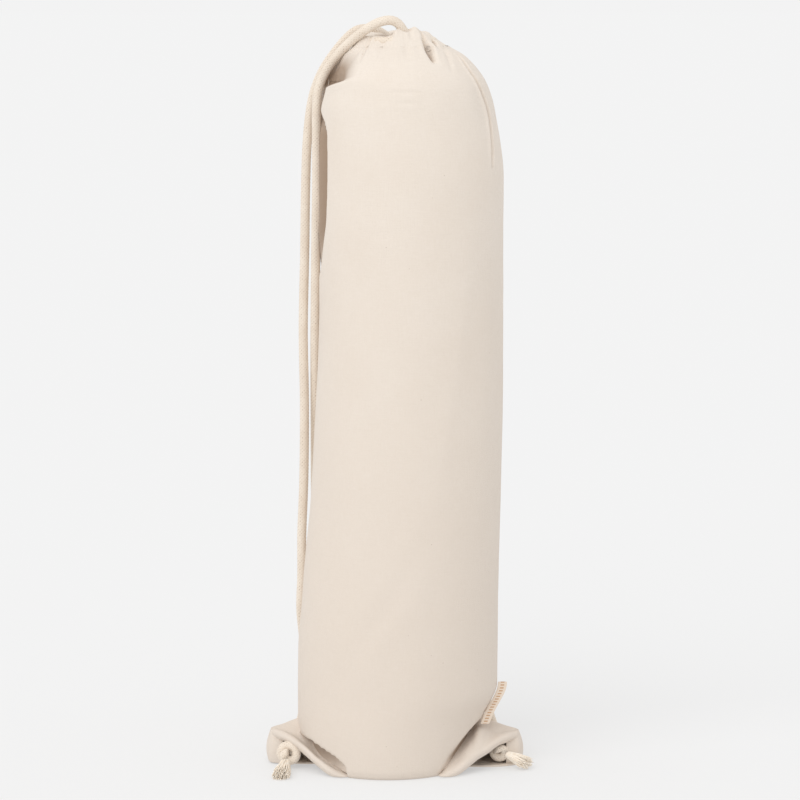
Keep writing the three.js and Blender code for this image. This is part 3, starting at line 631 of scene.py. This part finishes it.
# Dents: direction, half-width, share of the rim's height, its half-height, depth
DENTS = [
    (-28, 9, 0.985, 0.045, 2.2), (20, 14, 0.300, 0.120, 1.5), (150, 12, 0.620, 0.160, 1.9),
    (95, 16, 1.010, 0.030, 3.3), (-62, 16, 0.10, 0.06, 0.9), (-112, 26, 0.30, 0.20, 0.8),
    (-20, 10, 0.62, 0.22, 1.2), (60, 20, 0.75, 0.10, 1.6), (-150, 14, 0.42, 0.12, 1.0),
    (120, 20, 0.22, 0.10, 1.8), (175, 10, 0.45, 0.20, 1.4),
]


def pleats(angle, into):
    """How far the gather's cloth falls back into its valleys, in millimetres."""
    fall = np.zeros_like(angle * into)
    for direction, depth, spread, fade in VALLEYS:
        away = np.abs(turn_between(angle, direction))
        notch = 0.45 * np.exp(-away / (0.55 * spread)) + 0.55 * bell(away, spread)
        fall += depth * RUFFLE_DEPTH * notch * into**fade
    return fall


def lobes(angle):
    return sum(reach * bell(turn_between(angle, direction), spread) for direction, reach, spread in LOBES)


def body_points(angle, height):
    """Outside of the canvas body for arrays of directions and heights."""
    left, right, front, back = (smooth(REACH_HEIGHTS, REACHES[:, k], height) for k in range(4))
    turn = np.radians(angle)
    into = np.clip((height - RIM_HEIGHT) / DOME_HEIGHT, 0, 1)
    out = (lobes(angle) + RUFFLE_DEPTH) * into**1.5 - pleats(angle, into)
    middle, half = (left + right) / 2, (right - left) / 2
    depth = np.where(np.sin(turn) < 0, -front, back)
    return np.stack(
        [middle + (half + out) * np.cos(turn), (depth + out) * np.sin(turn), height + 0 * turn], axis=-1,
    )


# The cloth falls in over the roll's rim, deepest at the left shoulder under the cord
POCKET_ANGLE, POCKET_SPREAD, POCKET_DEPTH = -157, 18, 11.0
POCKET_FOOT, POCKET_TOP = 631, 664
POCKET_EASE = 6             # height over which each of its edges turns
POCKET_SHADE = 1.8          # painted shade for each millimetre of its depth


def pocket_field(angle, height):
    """How far the shoulder's pocket falls in. Its foot is a crisp edge that climbs to the right."""
    around = bell(turn_between(angle, POCKET_ANGLE), POCKET_SPREAD)
    foot = POCKET_FOOT + np.clip(0.2 * turn_between(angle, POCKET_ANGLE), -2, 9)
    rise = ramp(height, foot, foot + POCKET_EASE)
    fall = 1 - ramp(height, foot + 4, POCKET_TOP + POCKET_EASE)
    return POCKET_DEPTH * around * rise * fall


# A lengthwise fold beside the hanging cords: its direction and depth by height
LEFT_FOLD = np.array([
    (458, -176.0, 0.0), (466, -172.0, 3.0), (476, -168.0, 6.0), (484, -165.5, 8.5), (493, -162.8, 9.5),
    (502, -160.0, 10.0), (511, -158.2, 10.0), (530, -156.4, 10.0),
    (560, -155.5, 10.5), (588, -156.5, 10.0), (600, -161.5, 8.0), (609, -171.0, 6.0),
    (618, -169.0, 6.0), (634, -165.0, 6.0), (650, -162.0, 3.0), (662, -160.0, 0.0),
])
FOLD_WALL = (1.0, 4.0)      # arc from the fold's middle over which its front wall climbs
FOLD_BANK = (10.0, 25.0)    # and over which it comes back up behind the cords
FOLD_SHADE = (24.0, 34.0)   # and over which its painted shade runs out


def left_fold_field(angle, height):
    """The fold's depth, and how deep its shade is."""
    middle = np.interp(height, LEFT_FOLD[:, 0], LEFT_FOLD[:, 1])
    depth = np.interp(height, LEFT_FOLD[:, 0], LEFT_FOLD[:, 2], left=0, right=0)
    away = turn_between(angle, middle) * math.radians(1) * MEAN_RADIUS
    wall = 1 - ramp(away, *FOLD_WALL)
    bank, shade = (np.where(away > 0, wall, 1 - ramp(-away, *reach)) for reach in (FOLD_BANK, FOLD_SHADE))
    return depth * bank, depth * shade


# The lower front corners: the cloth turns in below these edges, given in x and z, over a
# soft width and down to a depth. Towards the corner's foot the tuck and its shade run out.
# The last column scales each tuck's painted shade
CORNER_TUCKS = [
    ([(-95, 30), (-81.5, 29.5), (-70, 25), (-58, 19.5), (-49, 13), (-46, 0)], 4.0, 9.0, 0.8),
    ([(38, 0), (41, 13), (47, 24), (59, 34), (67, 41), (74, 46), (80, 48)], 15.0, 7.5, 2.3),
]
TUCK_FOOT = (42, 66)        # distance from the middle over which a tuck deepens


def tuck_fields(grid):
    """How far the lower front corners turn in, and how deep their shade is."""
    sunk, shade = np.zeros(grid.shape[:2]), np.zeros(grid.shape[:2])
    x, y, z = grid[..., 0], grid[..., 1], grid[..., 2]
    for edge, soft, depth, strength in CORNER_TUCKS:
        xs, zs = np.array(edge).T
        level = np.interp(x, xs, zs)
        tuck = depth * ramp(level - z, 0, soft) * lerp(0.3, 1, ramp(np.abs(x), *TUCK_FOOT)) * (y < 0)
        sunk += tuck
        shade += strength * tuck * ramp(z, 2, 20)
    return sunk, shade


def wrinkle_field(points):
    """Soft uneven filling of the bag, with low diagonal folds towards the bottom."""
    field = np.zeros(len(points))
    for i, (x, y, z) in enumerate(points):
        slant = Vector(((x + 0.35 * z) / 46, y / 46, (z - 0.5 * x) / 120))
        small = Vector((x / 15, y / 15, z / 24 + 7))
        field[i] = 0.62 * noise.noise(slant) + 0.16 * noise.noise(small)
    return field


SEAM_ANGLES = (0, 180)
MEAN_RADIUS = 88


def seam_field(angle, height):
    """The side seams stand up a little beside a fine groove."""
    field = np.zeros_like(angle)
    for seam in SEAM_ANGLES:
        drift = np.interp(height, [0, 40, 76, 160], [-22, -16, -3, 0]) if seam == 0 else 0
        away = turn_between(angle, seam + drift) * math.radians(1) * MEAN_RADIUS
        fade = 1 - ramp(height, 640, 662)
        field += fade * (0.55 * bell(away - 3.2, 3.0) - 0.75 * bell(away, 0.9))
    return field


# Columns of the body: from each direction on, degrees to the next column
COLUMN_STEPS = [(-186, 0.55), (-146, 1.1), (-70, 0.9), (-20, 1.1), (12, 1.9)]
# Rows of the body: up to each height, the number of rows
ROW_BANDS = [(9, 9), (62, 24), (600, 150), (RIM_HEIGHT + DOME_HEIGHT, 66)]


def body_angles():
    turn, angles = COLUMN_STEPS[0][0], []
    while turn < COLUMN_STEPS[0][0] + 360 - 0.5:
        angles.append(turn)
        turn += [step for start, step in COLUMN_STEPS if start <= turn][-1]
    return np.array(angles)


def body_rows():
    bands, low = [[0.0]], 0
    for high, count in ROW_BANDS:
        bands.append(np.linspace(low, high, count)[1:])
        low = high
    return np.concatenate(bands)


def body_grid():
    """The body's outside before its sharper folds, with its directions and heights."""
    angle, height = np.meshgrid(body_angles(), body_rows())
    grid = body_points(angle, height)
    for direction, spread, share, reach, depth in DENTS:
        level = bell(height / RIM_HEIGHT - share, reach)
        dent = depth * bell(turn_between(angle, direction), spread) * level
        grid[..., 0] -= dent * np.cos(np.radians(angle))
        grid[..., 1] -= dent * np.sin(np.radians(angle))
    free = ramp(height, 2, 30) * (1 - 0.7 * ramp(height, 640, 660))
    rise = wrinkle_field(grid.reshape(-1, 3)).reshape(angle.shape) * free + seam_field(angle, height)
    return grid + grid_normals(grid, True) * rise[..., None], angle, height


HEM_FOOT = RIM_HEIGHT + DOME_HEIGHT - 1.2
TUNNEL_HEIGHT = 21
# Height of the gathered hem's top by direction, as a share of its height
HEM_TOPS = np.array([
    (-180, 0.66), (-160, 0.60), (-140, 0.58), (-120, 0.58), (-107, 0.62), (-100, 0.86), (-88, 0.94),
    (-72, 0.92), (-60, 1.00), (-52, 0.94), (-44, 0.80), (-30, 0.74), (-6, 0.66), (24, 0.80),
    (60, 0.70), (96, 0.84), (132, 0.74), (156, 0.78), (180, 0.66),
])
# The hem's section from its foot over the top into the mouth: how far in and how far up
HEM_SECTION = np.array([
    (0.00, -0.045, 0.0), (0.05, -0.012, 0.08), (0.12, 0.14, 0.19), (0.25, 0.41, 0.44), (0.38, 0.70, 0.75),
    (0.48, 0.90, 0.95), (0.56, 1.00, 1.00), (0.66, 1.00, 0.90), (0.80, 1.00, 0.50), (1.00, 1.00, 0.02),
])
MOUTH_TURN = np.array([(0.50, 0.0), (0.60, 0.22), (0.72, 0.72), (0.85, 0.95), (1.00, 1.0)])
# Where a cord goes through the cloth: direction, share of the section, depth of the hollow, which also sets
# its painted shade
CORD_HOLES = [(-78, 0.50, 4.0), (128, 0.42, 2.5), (66, 0.12, 3.0), (105, 0.12, 3.0)]
MOUTH_RADIUS = 12.5
LIP_RADIUS, RIGHT_LIP_RADIUS, LEFT_LIP_REACH = 27, 24, 12
# Fine gathers: height, count round the mouth, and how far and how often their spacing wanders
GATHERS = [(1.1, 23, 40, 3), (0.7, 37, 60, 2)]
GATHER_GROWTH = ([0, 0.12, 0.3, 0.6, 1.0], [0, 0.1, 0.4, 1.1, 1.6])    # towards the mouth
STITCH_PLACE, STITCH_WIDTH, STITCH_DEPTH = 0.10, 0.014, 0.22
MOUTH_SHADE = 12            # no light reaches down the mouth
HEM_COLUMNS, HEM_ROWS = 360, 62


def hem_grid():
    """The gathered hem from inside the body's top, over its lip and down into the mouth."""
    share, angle = np.meshgrid(np.linspace(0, 1, HEM_ROWS), np.arange(HEM_COLUMNS) - 180.0, indexing="ij")
    foot = TUNNEL_RADIUS + lobes(angle) + RUFFLE_DEPTH - pleats(angle, np.ones_like(angle))
    tall = smooth(HEM_TOPS[:, 0], HEM_TOPS[:, 1], angle) * TUNNEL_HEIGHT
    fine = sum(
        size * np.cos(np.radians(angle * count + wander * np.sin(np.radians(times * angle))))
        for size, count, wander, times in GATHERS
    )
    lip = lerp(LIP_RADIUS, RIGHT_LIP_RADIUS, bell(turn_between(angle, -8), 38))
    lip = lip + LEFT_LIP_REACH * bell(turn_between(angle, -170), 26)
    radius = lerp(foot, lip, np.interp(share, HEM_SECTION[:, 0], HEM_SECTION[:, 1]))
    radius = lerp(radius, MOUTH_RADIUS, np.interp(share, MOUTH_TURN[:, 0], MOUTH_TURN[:, 1]))
    rise = np.interp(share, HEM_SECTION[:, 0], HEM_SECTION[:, 2])
    radius = radius + fine * np.interp(share, *GATHER_GROWTH)
    radius = radius - STITCH_DEPTH * bell(share - STITCH_PLACE, STITCH_WIDTH)
    # Painted shade where a cord goes through and down the mouth
    hollow_shade = np.zeros_like(angle)
    for direction, place, depth in CORD_HOLES:
        hole = bell(turn_between(angle, direction), 11) * bell(share - place, 0.07)
        radius -= depth * hole
        rise -= 0.10 * hole
        hollow_shade += 1.5 * depth * hole
    hollow_shade += MOUTH_SHADE * ramp(share, 0.60, 0.80)
    turn = np.radians(angle)
    height = HEM_FOOT + tall * rise
    grid = np.stack([GATHER_X + radius * np.cos(turn), radius * np.sin(turn), height], axis=-1)
    return grid, share, angle, hollow_shade


def relax_grid(grid, times):
    """Evens out a grid that is closed across its columns."""
    for _ in range(times):
        around = (np.roll(grid, 1, axis=1) + np.roll(grid, -1, axis=1)) / 2
        along = grid.copy()
        along[1:-1] = (grid[:-2] + grid[2:]) / 2
        grid = 0.5 * grid + 0.2 * around + 0.3 * along
    return grid


body_base, body_angle, body_height = body_grid()
hem_base, hem_share, hem_angle, hem_hollow_shade = hem_grid()
hem_base[1:] = relax_grid(hem_base, 2)[1:]

# Folds that the front view shows, as lines of x and z: then the valley's depth and
# half-width, and the height of the soft ridge beside it
FOLDS = [
    ([(54, 661), (62, 650), (70, 637), (76, 624), (81.5, 607), (84.5, 585), (86, 560)], 8.5, 1.5, 1.8),
    ([(24, 673), (26, 668), (29, 662), (32.5, 654.5)], 9.0, 2.6, 1.4),
    ([(27, 671.5), (29.5, 666), (31, 662)], 4.0, 2.0, 0.8),
    ([(20.5, 683), (22.5, 677), (24.5, 672)], 2.2, 1.8, 0.6),
    ([(31.5, 675), (34, 669)], 7.0, 1.7, 0.6),
    ([(68, 520), (58, 420), (47, 340), (32, 245), (27, 150)], -0.9, 13, 0.0),
    ([(-24, 676), (-27, 670), (-31, 662), (-35, 654)], 1.6, 1.8, 0.8),
    ([(-12, 677), (-14, 668), (-15, 658)], 0.7, 2.6, 0.4),
    ([(8, 680), (9, 670), (8, 658)], 0.7, 2.6, 0.4),
    ([(41, 668), (46, 656), (49, 646)], 1.0, 2.4, 0.5),
    ([(-9, 627), (8, 627.5), (22, 626)], 0.35, 1.6, 0.3),
    ([(-6, 617), (10, 617), (20, 616)], 0.30, 1.6, 0.25),
    ([(-62, 70), (-30, 130), (10, 178)], 0.35, 7, 0.3),
    ([(-45, 120), (-5, 170), (35, 235)], 0.30, 8, 0.3),
    ([(28, 120), (30, 200), (34, 300)], 0.35, 9, 0.3),
    ([(-60, 520), (-20, 500), (15, 505)], 0.18, 3, 0.15),
    ([(-18, 448), (20, 446), (44, 452)], 0.18, 2.4, 0.15),
]


def front_spots():
    """Points of the body and the hem that face the front."""
    outer = hem_base[hem_share[:, 0] < 0.56].reshape(-1, 3)
    spots = np.vstack([body_base.reshape(-1, 3), outer[outer[:, 2] > body_base[-1, 0, 2]]])
    return spots[spots[:, 1] < 0]


FRONT = front_spots()


def fold_line(places):
    """The fold's line on the cloth, for places that the front view gives in x and z."""
    spots = [FRONT[np.argmin((FRONT[:, 0] - x) ** 2 + (FRONT[:, 2] - z) ** 2)] for x, z in places]
    return through(spots, 2.5)


FOLD_LINES = [(fold_line(places), depth, spread, ridge) for places, depth, spread, ridge in FOLDS]


def pressed(grid):
    """Rise of a grid's points from the folds near them. Only the cloth's outside is pressed in."""
    normal = grid_normals(grid, True)
    outward = grid - np.array((GATHER_X, 0, 0))
    outward[..., 2] = 0
    outward /= np.maximum(np.linalg.norm(outward, axis=2, keepdims=True), 1e-6)
    outside = np.clip(1 + 2 * (normal * outward).sum(axis=2), 0, 1)
    rise = np.zeros(grid.shape[:2])
    for line, depth, spread, ridge in FOLD_LINES:
        reach = 5 * spread
        low, high = line.min(axis=0) - reach, line.max(axis=0) + reach
        near = np.all((grid > low) & (grid < high), axis=2)
        spots, facing = grid[near], normal[near]
        if not len(spots):
            continue
        nearest = np.full(len(spots), 1e9)
        signed, share = np.zeros(len(spots)), np.zeros(len(spots))
        for i in range(len(line) - 1):
            d = line[i + 1] - line[i]
            t = np.clip((spots - line[i]) @ d / d.dot(d), 0, 1)
            offset = spots - line[i] - t[:, None] * d
            away = np.linalg.norm(offset, axis=1)
            closer = away < nearest
            side = np.sign((np.cross(d, facing) * offset).sum(axis=1))
            nearest = np.where(closer, away, nearest)
            signed = np.where(closer, side * away, signed)
            share = np.where(closer, (i + t) / (len(line) - 1), share)
        fade = np.sin(np.pi * np.clip(share, 0.03, 0.97)) ** 0.5
        valley = 0.35 * np.exp(-nearest / (0.6 * spread)) + 0.65 * bell(nearest, spread)
        beside = bell(np.abs(signed) - 2.2 * spread, 1.4 * spread)
        rise[near] += fade * (ridge * beside - depth * valley)
    return rise * outside


INSIDE_STEP = 20            # rows of the outside to each row of the inside


def deepest(field, reach):
    """The largest value within a number of rows of each row."""
    return np.array([field[max(i - reach, 0) : i + reach + 1].max(axis=0) for i in range(len(field))])


TOP_TUCK, TOP_RISE = 4.5, 2.5     # how far in and up the body's cloth goes on inside the hem


def tucked_top(fold):
    """The body's last row, hidden behind the hem's foot also where a fold presses that in."""
    top = body_base[-1]
    outward = top - np.array((GATHER_X, 0, 0))
    outward[:, 2] = 0
    outward /= np.linalg.norm(outward, axis=1, keepdims=True)
    return top - outward * (TOP_TUCK + np.maximum(-fold, 0))[:, None] + np.array((0, 0, TOP_RISE))


def canvas_body():
    grid, angle, height = body_base, body_angle, body_height
    around = grid.shape[1]
    pocket = pocket_field(angle, height)
    left_fold, shade = left_fold_field(angle, height)
    tuck, tuck_shade = tuck_fields(grid)
    sunk = pocket + left_fold + tuck
    fold = pressed(grid)
    grid = grid + grid_normals(grid, True) * (fold - sunk)[..., None]
    grid[..., 2] = np.maximum(grid[..., 2], 0.0)
    # Painted shade: darker in the pocket, the left fold, the corner tucks and the pressed folds
    hollow_shade = POCKET_SHADE * pocket + shade + tuck_shade + np.maximum(-fold, 0)
    # The cloth goes on a little way up inside the hem
    grid, hollow_shade = np.concatenate([grid, tucked_top(fold[-1])[None]]), np.vstack([hollow_shade, hollow_shade[-1:]])
    angle, height = np.vstack([angle, angle[-1:]]), np.vstack([height, height[-1:] + 3])
    # The inside, a wall's thickness in, with fewer rows: it keeps clear of the folds between them
    rows = len(body_base)
    picks = np.r_[np.arange(rows - 1, rows - 24, -4), np.arange(rows - 30, 12, -INSIDE_STEP), 10]
    depth = deepest(sunk - fold, INSIDE_STEP) + CLOTH_WALL
    inside = (body_base - grid_normals(body_base, True) * depth[..., None])[picks]
    whole = np.concatenate([grid, inside])
    uvs = np.stack([np.radians(angle) * MEAN_RADIUS, height], axis=-1)
    uvs = np.concatenate([uvs, uvs[picks]]).reshape(-1, 2) * MM
    quads = grid_quads(len(whole), around, wrap=True)
    points = np.vstack([whole.reshape(-1, 3), [[-6, 0, 0.0], [-6, 0, CLOTH_WALL]]])
    uvs = np.vstack([uvs, [[0, 0], [0, 0]]])
    obj = mesh_object("canvas_body", points, quads, uvs, CANVAS, end_fans(len(whole), around))
    placed(obj, "canvas", "bag_body")
    point_values(obj, "hollow_shade", hollow_shade)


canvas_body()


def tunnel_hem():
    fold = pressed(hem_base)
    grid = hem_base + grid_normals(hem_base, True) * fold[..., None]
    uvs = np.stack([np.radians(hem_angle) * 40, 666 + hem_share * 60], axis=-1).reshape(-1, 2) * MM
    quads = grid_quads(HEM_ROWS, HEM_COLUMNS, wrap=True)
    # The underside closes the ring between the mouth and the stitch line
    k = np.arange(HEM_COLUMNS)
    last = (HEM_ROWS - 1) * HEM_COLUMNS
    under = np.stack([last + k, last + (k + 1) % HEM_COLUMNS, (k + 1) % HEM_COLUMNS, k], axis=1)
    obj = mesh_object("gathered_hem", grid.reshape(-1, 3), np.vstack([quads, under]), uvs, CANVAS)
    # Painted shade in the cord holes, down the mouth and in the pressed folds
    point_values(obj, "hollow_shade", hem_hollow_shade + np.maximum(-fold, 0))
    placed(obj, "canvas", "tunnel_hem")
    return grid


hem_points = tunnel_hem()


STITCH_SPACING, STITCH_LENGTH, STITCH_RADIUS, STITCH_FLATNESS = 3.4, 2.3, 0.30, 0.7
STITCH_SIDES = 6
STITCH_STATIONS = np.array([-0.5, -0.42, -0.2, 0.2, 0.42, 0.5])
STITCH_TAPER = np.array([0.15, 0.7, 1, 1, 0.7, 0.15])
STITCH_ROW, STITCH_LIFT = 5, 0.02


def capsule_chain(name, middles, directions, normals):
    """Short stitches: flattened capsules that lie along a line."""
    points, quads = [], []
    stations = STITCH_STATIONS * STITCH_LENGTH
    widths = STITCH_TAPER * STITCH_RADIUS
    turns = np.arange(STITCH_SIDES)[:, None] * 2 * math.pi / STITCH_SIDES
    for middle, along, out in zip(middles, directions, normals):
        around = np.cos(turns) * np.cross(along, out) + STITCH_FLATNESS * np.sin(turns) * out
        ring = middle + stations[:, None, None] * along + widths[:, None, None] * around[None]
        first = len(points) * len(stations) * STITCH_SIDES
        quads.append(grid_quads(len(stations), STITCH_SIDES, wrap=True, first=first))
        points.append(ring.reshape(-1, 3))
    placed(mesh_object(name, np.vstack(points), np.vstack(quads), material=CANVAS), "canvas")


def stitch_row(name, line, outward):
    """Stitches every STITCH_SPACING along a line, sitting just proud of the cloth."""
    gaps = np.linalg.norm(np.diff(line, axis=0), axis=1)
    length = np.concatenate([[0], np.cumsum(gaps)])
    places = np.arange(STITCH_SPACING / 2, length[-1], STITCH_SPACING)
    pick = lambda table, s: np.stack([np.interp(s, length, table[:, k]) for k in range(3)], axis=1)
    middles = pick(line, places)
    along = pick(line, np.minimum(places + 0.8, length[-1])) - pick(line, np.maximum(places - 0.8, 0))
    along /= np.linalg.norm(along, axis=1, keepdims=True)
    out = pick(outward, places)
    out /= np.linalg.norm(out, axis=1, keepdims=True)
    capsule_chain(name, middles + out * STITCH_LIFT, along, out)


def closed_row(grid, row):
    return np.vstack([grid[row], grid[row][:1]])


hem_outward = grid_normals(hem_points, True)
stitch_row("hem_stitches", closed_row(hem_points, STITCH_ROW), closed_row(hem_outward, STITCH_ROW))

EAR_SHEET = 2.0
END_BULGE = 4.5             # the ear's outer end bows out at mid height
# Rows from the flap's foot (along 0) to the tip (along 1). Columns: along, ridge, ridge_z,
# trough, trough_z, crest, crest_z, layer, back. The y columns are shares of half the body's
# depth, the z columns shares of the ear's height. The flap runs from the ridge through a
# dished trough to its light front crest and turns under at the lip.
LEFT_EAR = np.array([
    (-0.08, 0.00, 0.93, -0.740, 0.02, -0.830, 0.00, -0.680, 0.71),
    (0.00, 0.00, 0.95, -0.770, 0.06, -0.862, 0.03, -0.680, 0.71),
    (0.19, 0.02, 0.98, -0.670, 0.18, -0.835, 0.19, -0.440, 0.62),
    (0.38, 0.05, 1.00, -0.500, 0.31, -0.680, 0.36, -0.230, 0.51),
    (0.59, 0.07, 0.98, -0.330, 0.56, -0.500, 0.60, -0.220, 0.37),
    (0.72, 0.07, 0.91, -0.220, 0.69, -0.410, 0.71, -0.200, 0.29),
    (0.86, 0.06, 0.82, -0.130, 0.75, -0.290, 0.77, -0.160, 0.21),
    (1.00, 0.03, 0.76, -0.050, 0.76, -0.120, 0.77, -0.070, 0.11),
])
RIGHT_EAR = np.array([
    (-0.08, 0.00, 0.93, -0.700, 0.02, -0.815, 0.00, -0.600, 0.71),
    (0.00, 0.00, 0.95, -0.740, 0.13, -0.850, 0.03, -0.600, 0.71),
    (0.19, 0.02, 1.00, -0.630, 0.37, -0.785, 0.21, -0.400, 0.62),
    (0.38, 0.05, 1.00, -0.470, 0.72, -0.645, 0.41, -0.360, 0.51),
    (0.48, 0.07, 0.98, -0.380, 0.92, -0.570, 0.51, -0.360, 0.44),
    (0.60, 0.08, 0.97, -0.230, 0.84, -0.495, 0.62, -0.360, 0.37),
    (0.74, 0.08, 0.90, -0.150, 0.79, -0.400, 0.74, -0.340, 0.29),
    (0.88, 0.06, 0.82, -0.100, 0.77, -0.290, 0.79, -0.300, 0.20),
    (1.00, 0.03, 0.77, -0.050, 0.76, -0.160, 0.78, -0.240, 0.11),
])
EAR_ROWS, EAR_COLS = 48, 84


def ear_grid(table, foot, reach, height, side):
    across = BODY_DEPTH / 2
    rows = []
    floor = EAR_SHEET / 2 + 0.1
    for place in np.linspace(table[0, 0], 1, EAR_ROWS):
        _, ridge, ridge_z, trough, trough_z, crest, crest_z, layer, back = (
            float(smooth(table[:, 0], table[:, k], place)) for k in range(table.shape[1])
        )
        out = side * lerp(foot, reach, place)
        keys = [
            (out, crest * across + 6.0, max(crest_z * height - 6.4, floor + 0.3)),
            (out, crest * across + 1.2, max(crest_z * height - 4.8, floor + 0.4)),
            (out, crest * across - 1.3, max(crest_z * height - 2.2, floor + 0.6)),
            (out, crest * across - 0.5, max(crest_z * height, floor + 1.0)),
            (out, lerp(crest, trough, 0.22) * across, lerp(crest_z, trough_z, 0.2) * height + 1.2),
            (out, trough * across, trough_z * height),
            (out, lerp(trough, ridge, 0.5) * across, lerp(trough_z, ridge_z, 0.5) * height),
            (out, ridge * across, ridge_z * height),
            (out, lerp(ridge, back, 0.3) * across, ridge_z * height * 0.82),
            (out, lerp(ridge, back, 0.6) * across, ridge_z * height * 0.5),
            (out, back * across, floor + 1.5),
            (out, lerp(back, layer, 0.2) * across, floor),
            (out, layer * across, floor),
        ]
        line = through(keys, 0.5)
        picks = np.linspace(0, len(line) - 1, EAR_COLS)
        rows.append(np.stack([np.interp(picks, np.arange(len(line)), line[:, k]) for k in range(3)], axis=1))
    grid = np.array(rows)
    rough = np.array([noise.noise(Vector((p[0] / 11, p[1] / 14, p[2] / 11))) for p in grid.reshape(-1, 3)])
    normal = grid_normals(grid, False)
    lift = 0.7 * rough.reshape(grid.shape[:2]) * ramp(grid[..., 2], 2, 12)
    return grid + normal * lift[..., None]


def sheet_object(name, grid, thickness, material, levels=1):
    """A sheet of even thickness with rounded edges, from a grid of its middle surface."""
    rows, cols = grid.shape[:2]
    u = np.concatenate([[0], np.cumsum(np.linalg.norm(np.diff(grid[:, cols // 2], axis=0), axis=1))])
    v = np.concatenate([[0], np.cumsum(np.linalg.norm(np.diff(grid[rows // 2], axis=0), axis=1))])
    uvs = np.stack(np.meshgrid(u, v, indexing="ij"), axis=-1).reshape(-1, 2) * MM
    obj = mesh_object(name, grid.reshape(-1, 3), grid_quads(rows, cols), uvs, material)
    solid = obj.modifiers.new("thickness", "SOLIDIFY")
    solid.thickness = thickness * MM
    solid.offset = 0
    rounding = obj.modifiers.new("rounding", "SUBSURF")
    rounding.levels = rounding.render_levels = levels
    return obj


def ear_band_grid(table, foot, reach, height, side):
    """The wall round the ear's outer end, from under the front crest to the back."""
    across = BODY_DEPTH / 2
    tip = table[-1]
    near = [float(smooth(table[:, 0], table[:, k], 0.88)) for k in range(table.shape[1])]
    near_x = lerp(foot, reach, 0.84)
    plan = np.array([
        (side * near_x, near[5] * across + 6, near[6] * height - 1),
        (side * (reach - 1.5), tip[5] * across - 2, tip[6] * height - 1),
        (side * (reach - 0.2), tip[5] * across + 2, tip[6] * height),
        (side * (reach - 0.2), tip[8] * across - 2, tip[2] * height),
        (side * (reach - 3), tip[8] * across + 4, tip[2] * height * 0.8),
    ])
    edge = through(plan, 0.9)
    outward = edge - np.array([side * near_x, 0, 0])
    outward[:, 2] = 0
    outward /= np.linalg.norm(outward, axis=1, keepdims=True)
    levels = np.linspace(0, 1, 16)
    grid = np.zeros((len(edge), len(levels), 3))
    for j, level in enumerate(levels):
        bulge = END_BULGE * math.sin(math.pi * lerp(0.2, 1.0, level))
        grid[:, j] = edge + outward * bulge
        grid[:, j, 2] = lerp(EAR_SHEET / 2, edge[:, 2] - 0.6, level)
    return grid


def add_ear(name, *shape):
    for part, grid in (("flap", ear_grid(*shape)), ("end", ear_band_grid(*shape))):
        placed(sheet_object(f"{name}_{part}", grid, EAR_SHEET, CANVAS), "canvas", "bag_body")


add_ear("left_ear", LEFT_EAR, 49, 118, 40, -1)
add_ear("right_ear", RIGHT_EAR, 43, 112, 37, 1)

LABEL_LENGTH, LABEL_WIDTH, LABEL_THICKNESS = 36, 9, 0.9
LABEL_TOP, LABEL_ANGLES = 76, (-3, -17)     # height of its upper end, and direction of both ends
LABEL_LEAN = (1, 0.25, -0.05)
LABEL_CURL, LABEL_STEPS = 0.5, 14


def side_label():
    lean = np.array(LABEL_LEAN)
    lean /= np.linalg.norm(lean)
    across = np.linspace(0, 1, 7)[:, None]
    rows = []
    for share in np.linspace(0, 1, LABEL_STEPS + 1):
        angle, height = lerp(*LABEL_ANGLES, share), LABEL_TOP - LABEL_LENGTH * share
        spot = body_points(np.array([angle]), np.array([height]))[0]
        turn = math.radians(angle)
        seam = spot + np.array((math.cos(turn), math.sin(turn), 0)) * 1.2
        curl = LABEL_CURL * math.sin(math.pi * share) * np.sin(math.pi * across)
        rows.append(seam + lean * LABEL_WIDTH * across - curl * np.array((0, 1, 0)))
    placed(sheet_object("side_label_tape", np.array(rows), LABEL_THICKNESS, LABEL, 2), "label", "side_label")


side_label()

BACKDROP_TONE = 0.896
FLOOR_REACH = 1000000
FLOOR_TONE, FLOOR_GLOW = 0.43, 0.425
SUN_DIRECTION, SUN_STRENGTH, SUN_SOFTNESS = (0.36, 0.66, -0.66), 0.98, 50


def floor():
    corners = [(x * FLOOR_REACH, y * FLOOR_REACH, 0) for x, y in ((-1, -1), (1, -1), (1, 1), (-1, 1))]
    obj = mesh_object("floor", corners, [(0, 1, 2, 3)])
    n = Nodes("studio_floor")
    n.settings({
        "Base Color": (FLOOR_TONE, FLOOR_TONE, FLOOR_TONE, 1), "Roughness": 1.0, "Specular IOR Level": 0.0,
        "Emission Color": (1, 1, 1, 1), "Emission Strength": FLOOR_GLOW,
    })
    obj.data.materials.append(n.material)


floor()


def sun_light():
    data = bpy.data.lights.new("key", "SUN")
    data.energy = SUN_STRENGTH
    data.angle = math.radians(SUN_SOFTNESS)
    obj = bpy.data.objects.new("key", data)
    obj.rotation_mode = "QUATERNION"
    obj.rotation_quaternion = Vector(SUN_DIRECTION).to_track_quat("-Z", "Y")
    bpy.context.scene.collection.objects.link(obj)


def studio():
    world = bpy.data.worlds.new("studio")
    world.use_nodes = True
    back = world.node_tree.nodes["Background"]
    back.inputs["Color"].default_value = (BACKDROP_TONE, BACKDROP_TONE, BACKDROP_TONE, 1)
    back.inputs["Strength"].default_value = 1.0
    scene = bpy.context.scene
    scene.world = world
    scene.view_settings.view_transform = "Standard"
    scene.view_settings.look = "None"
    sun_light()


studio()
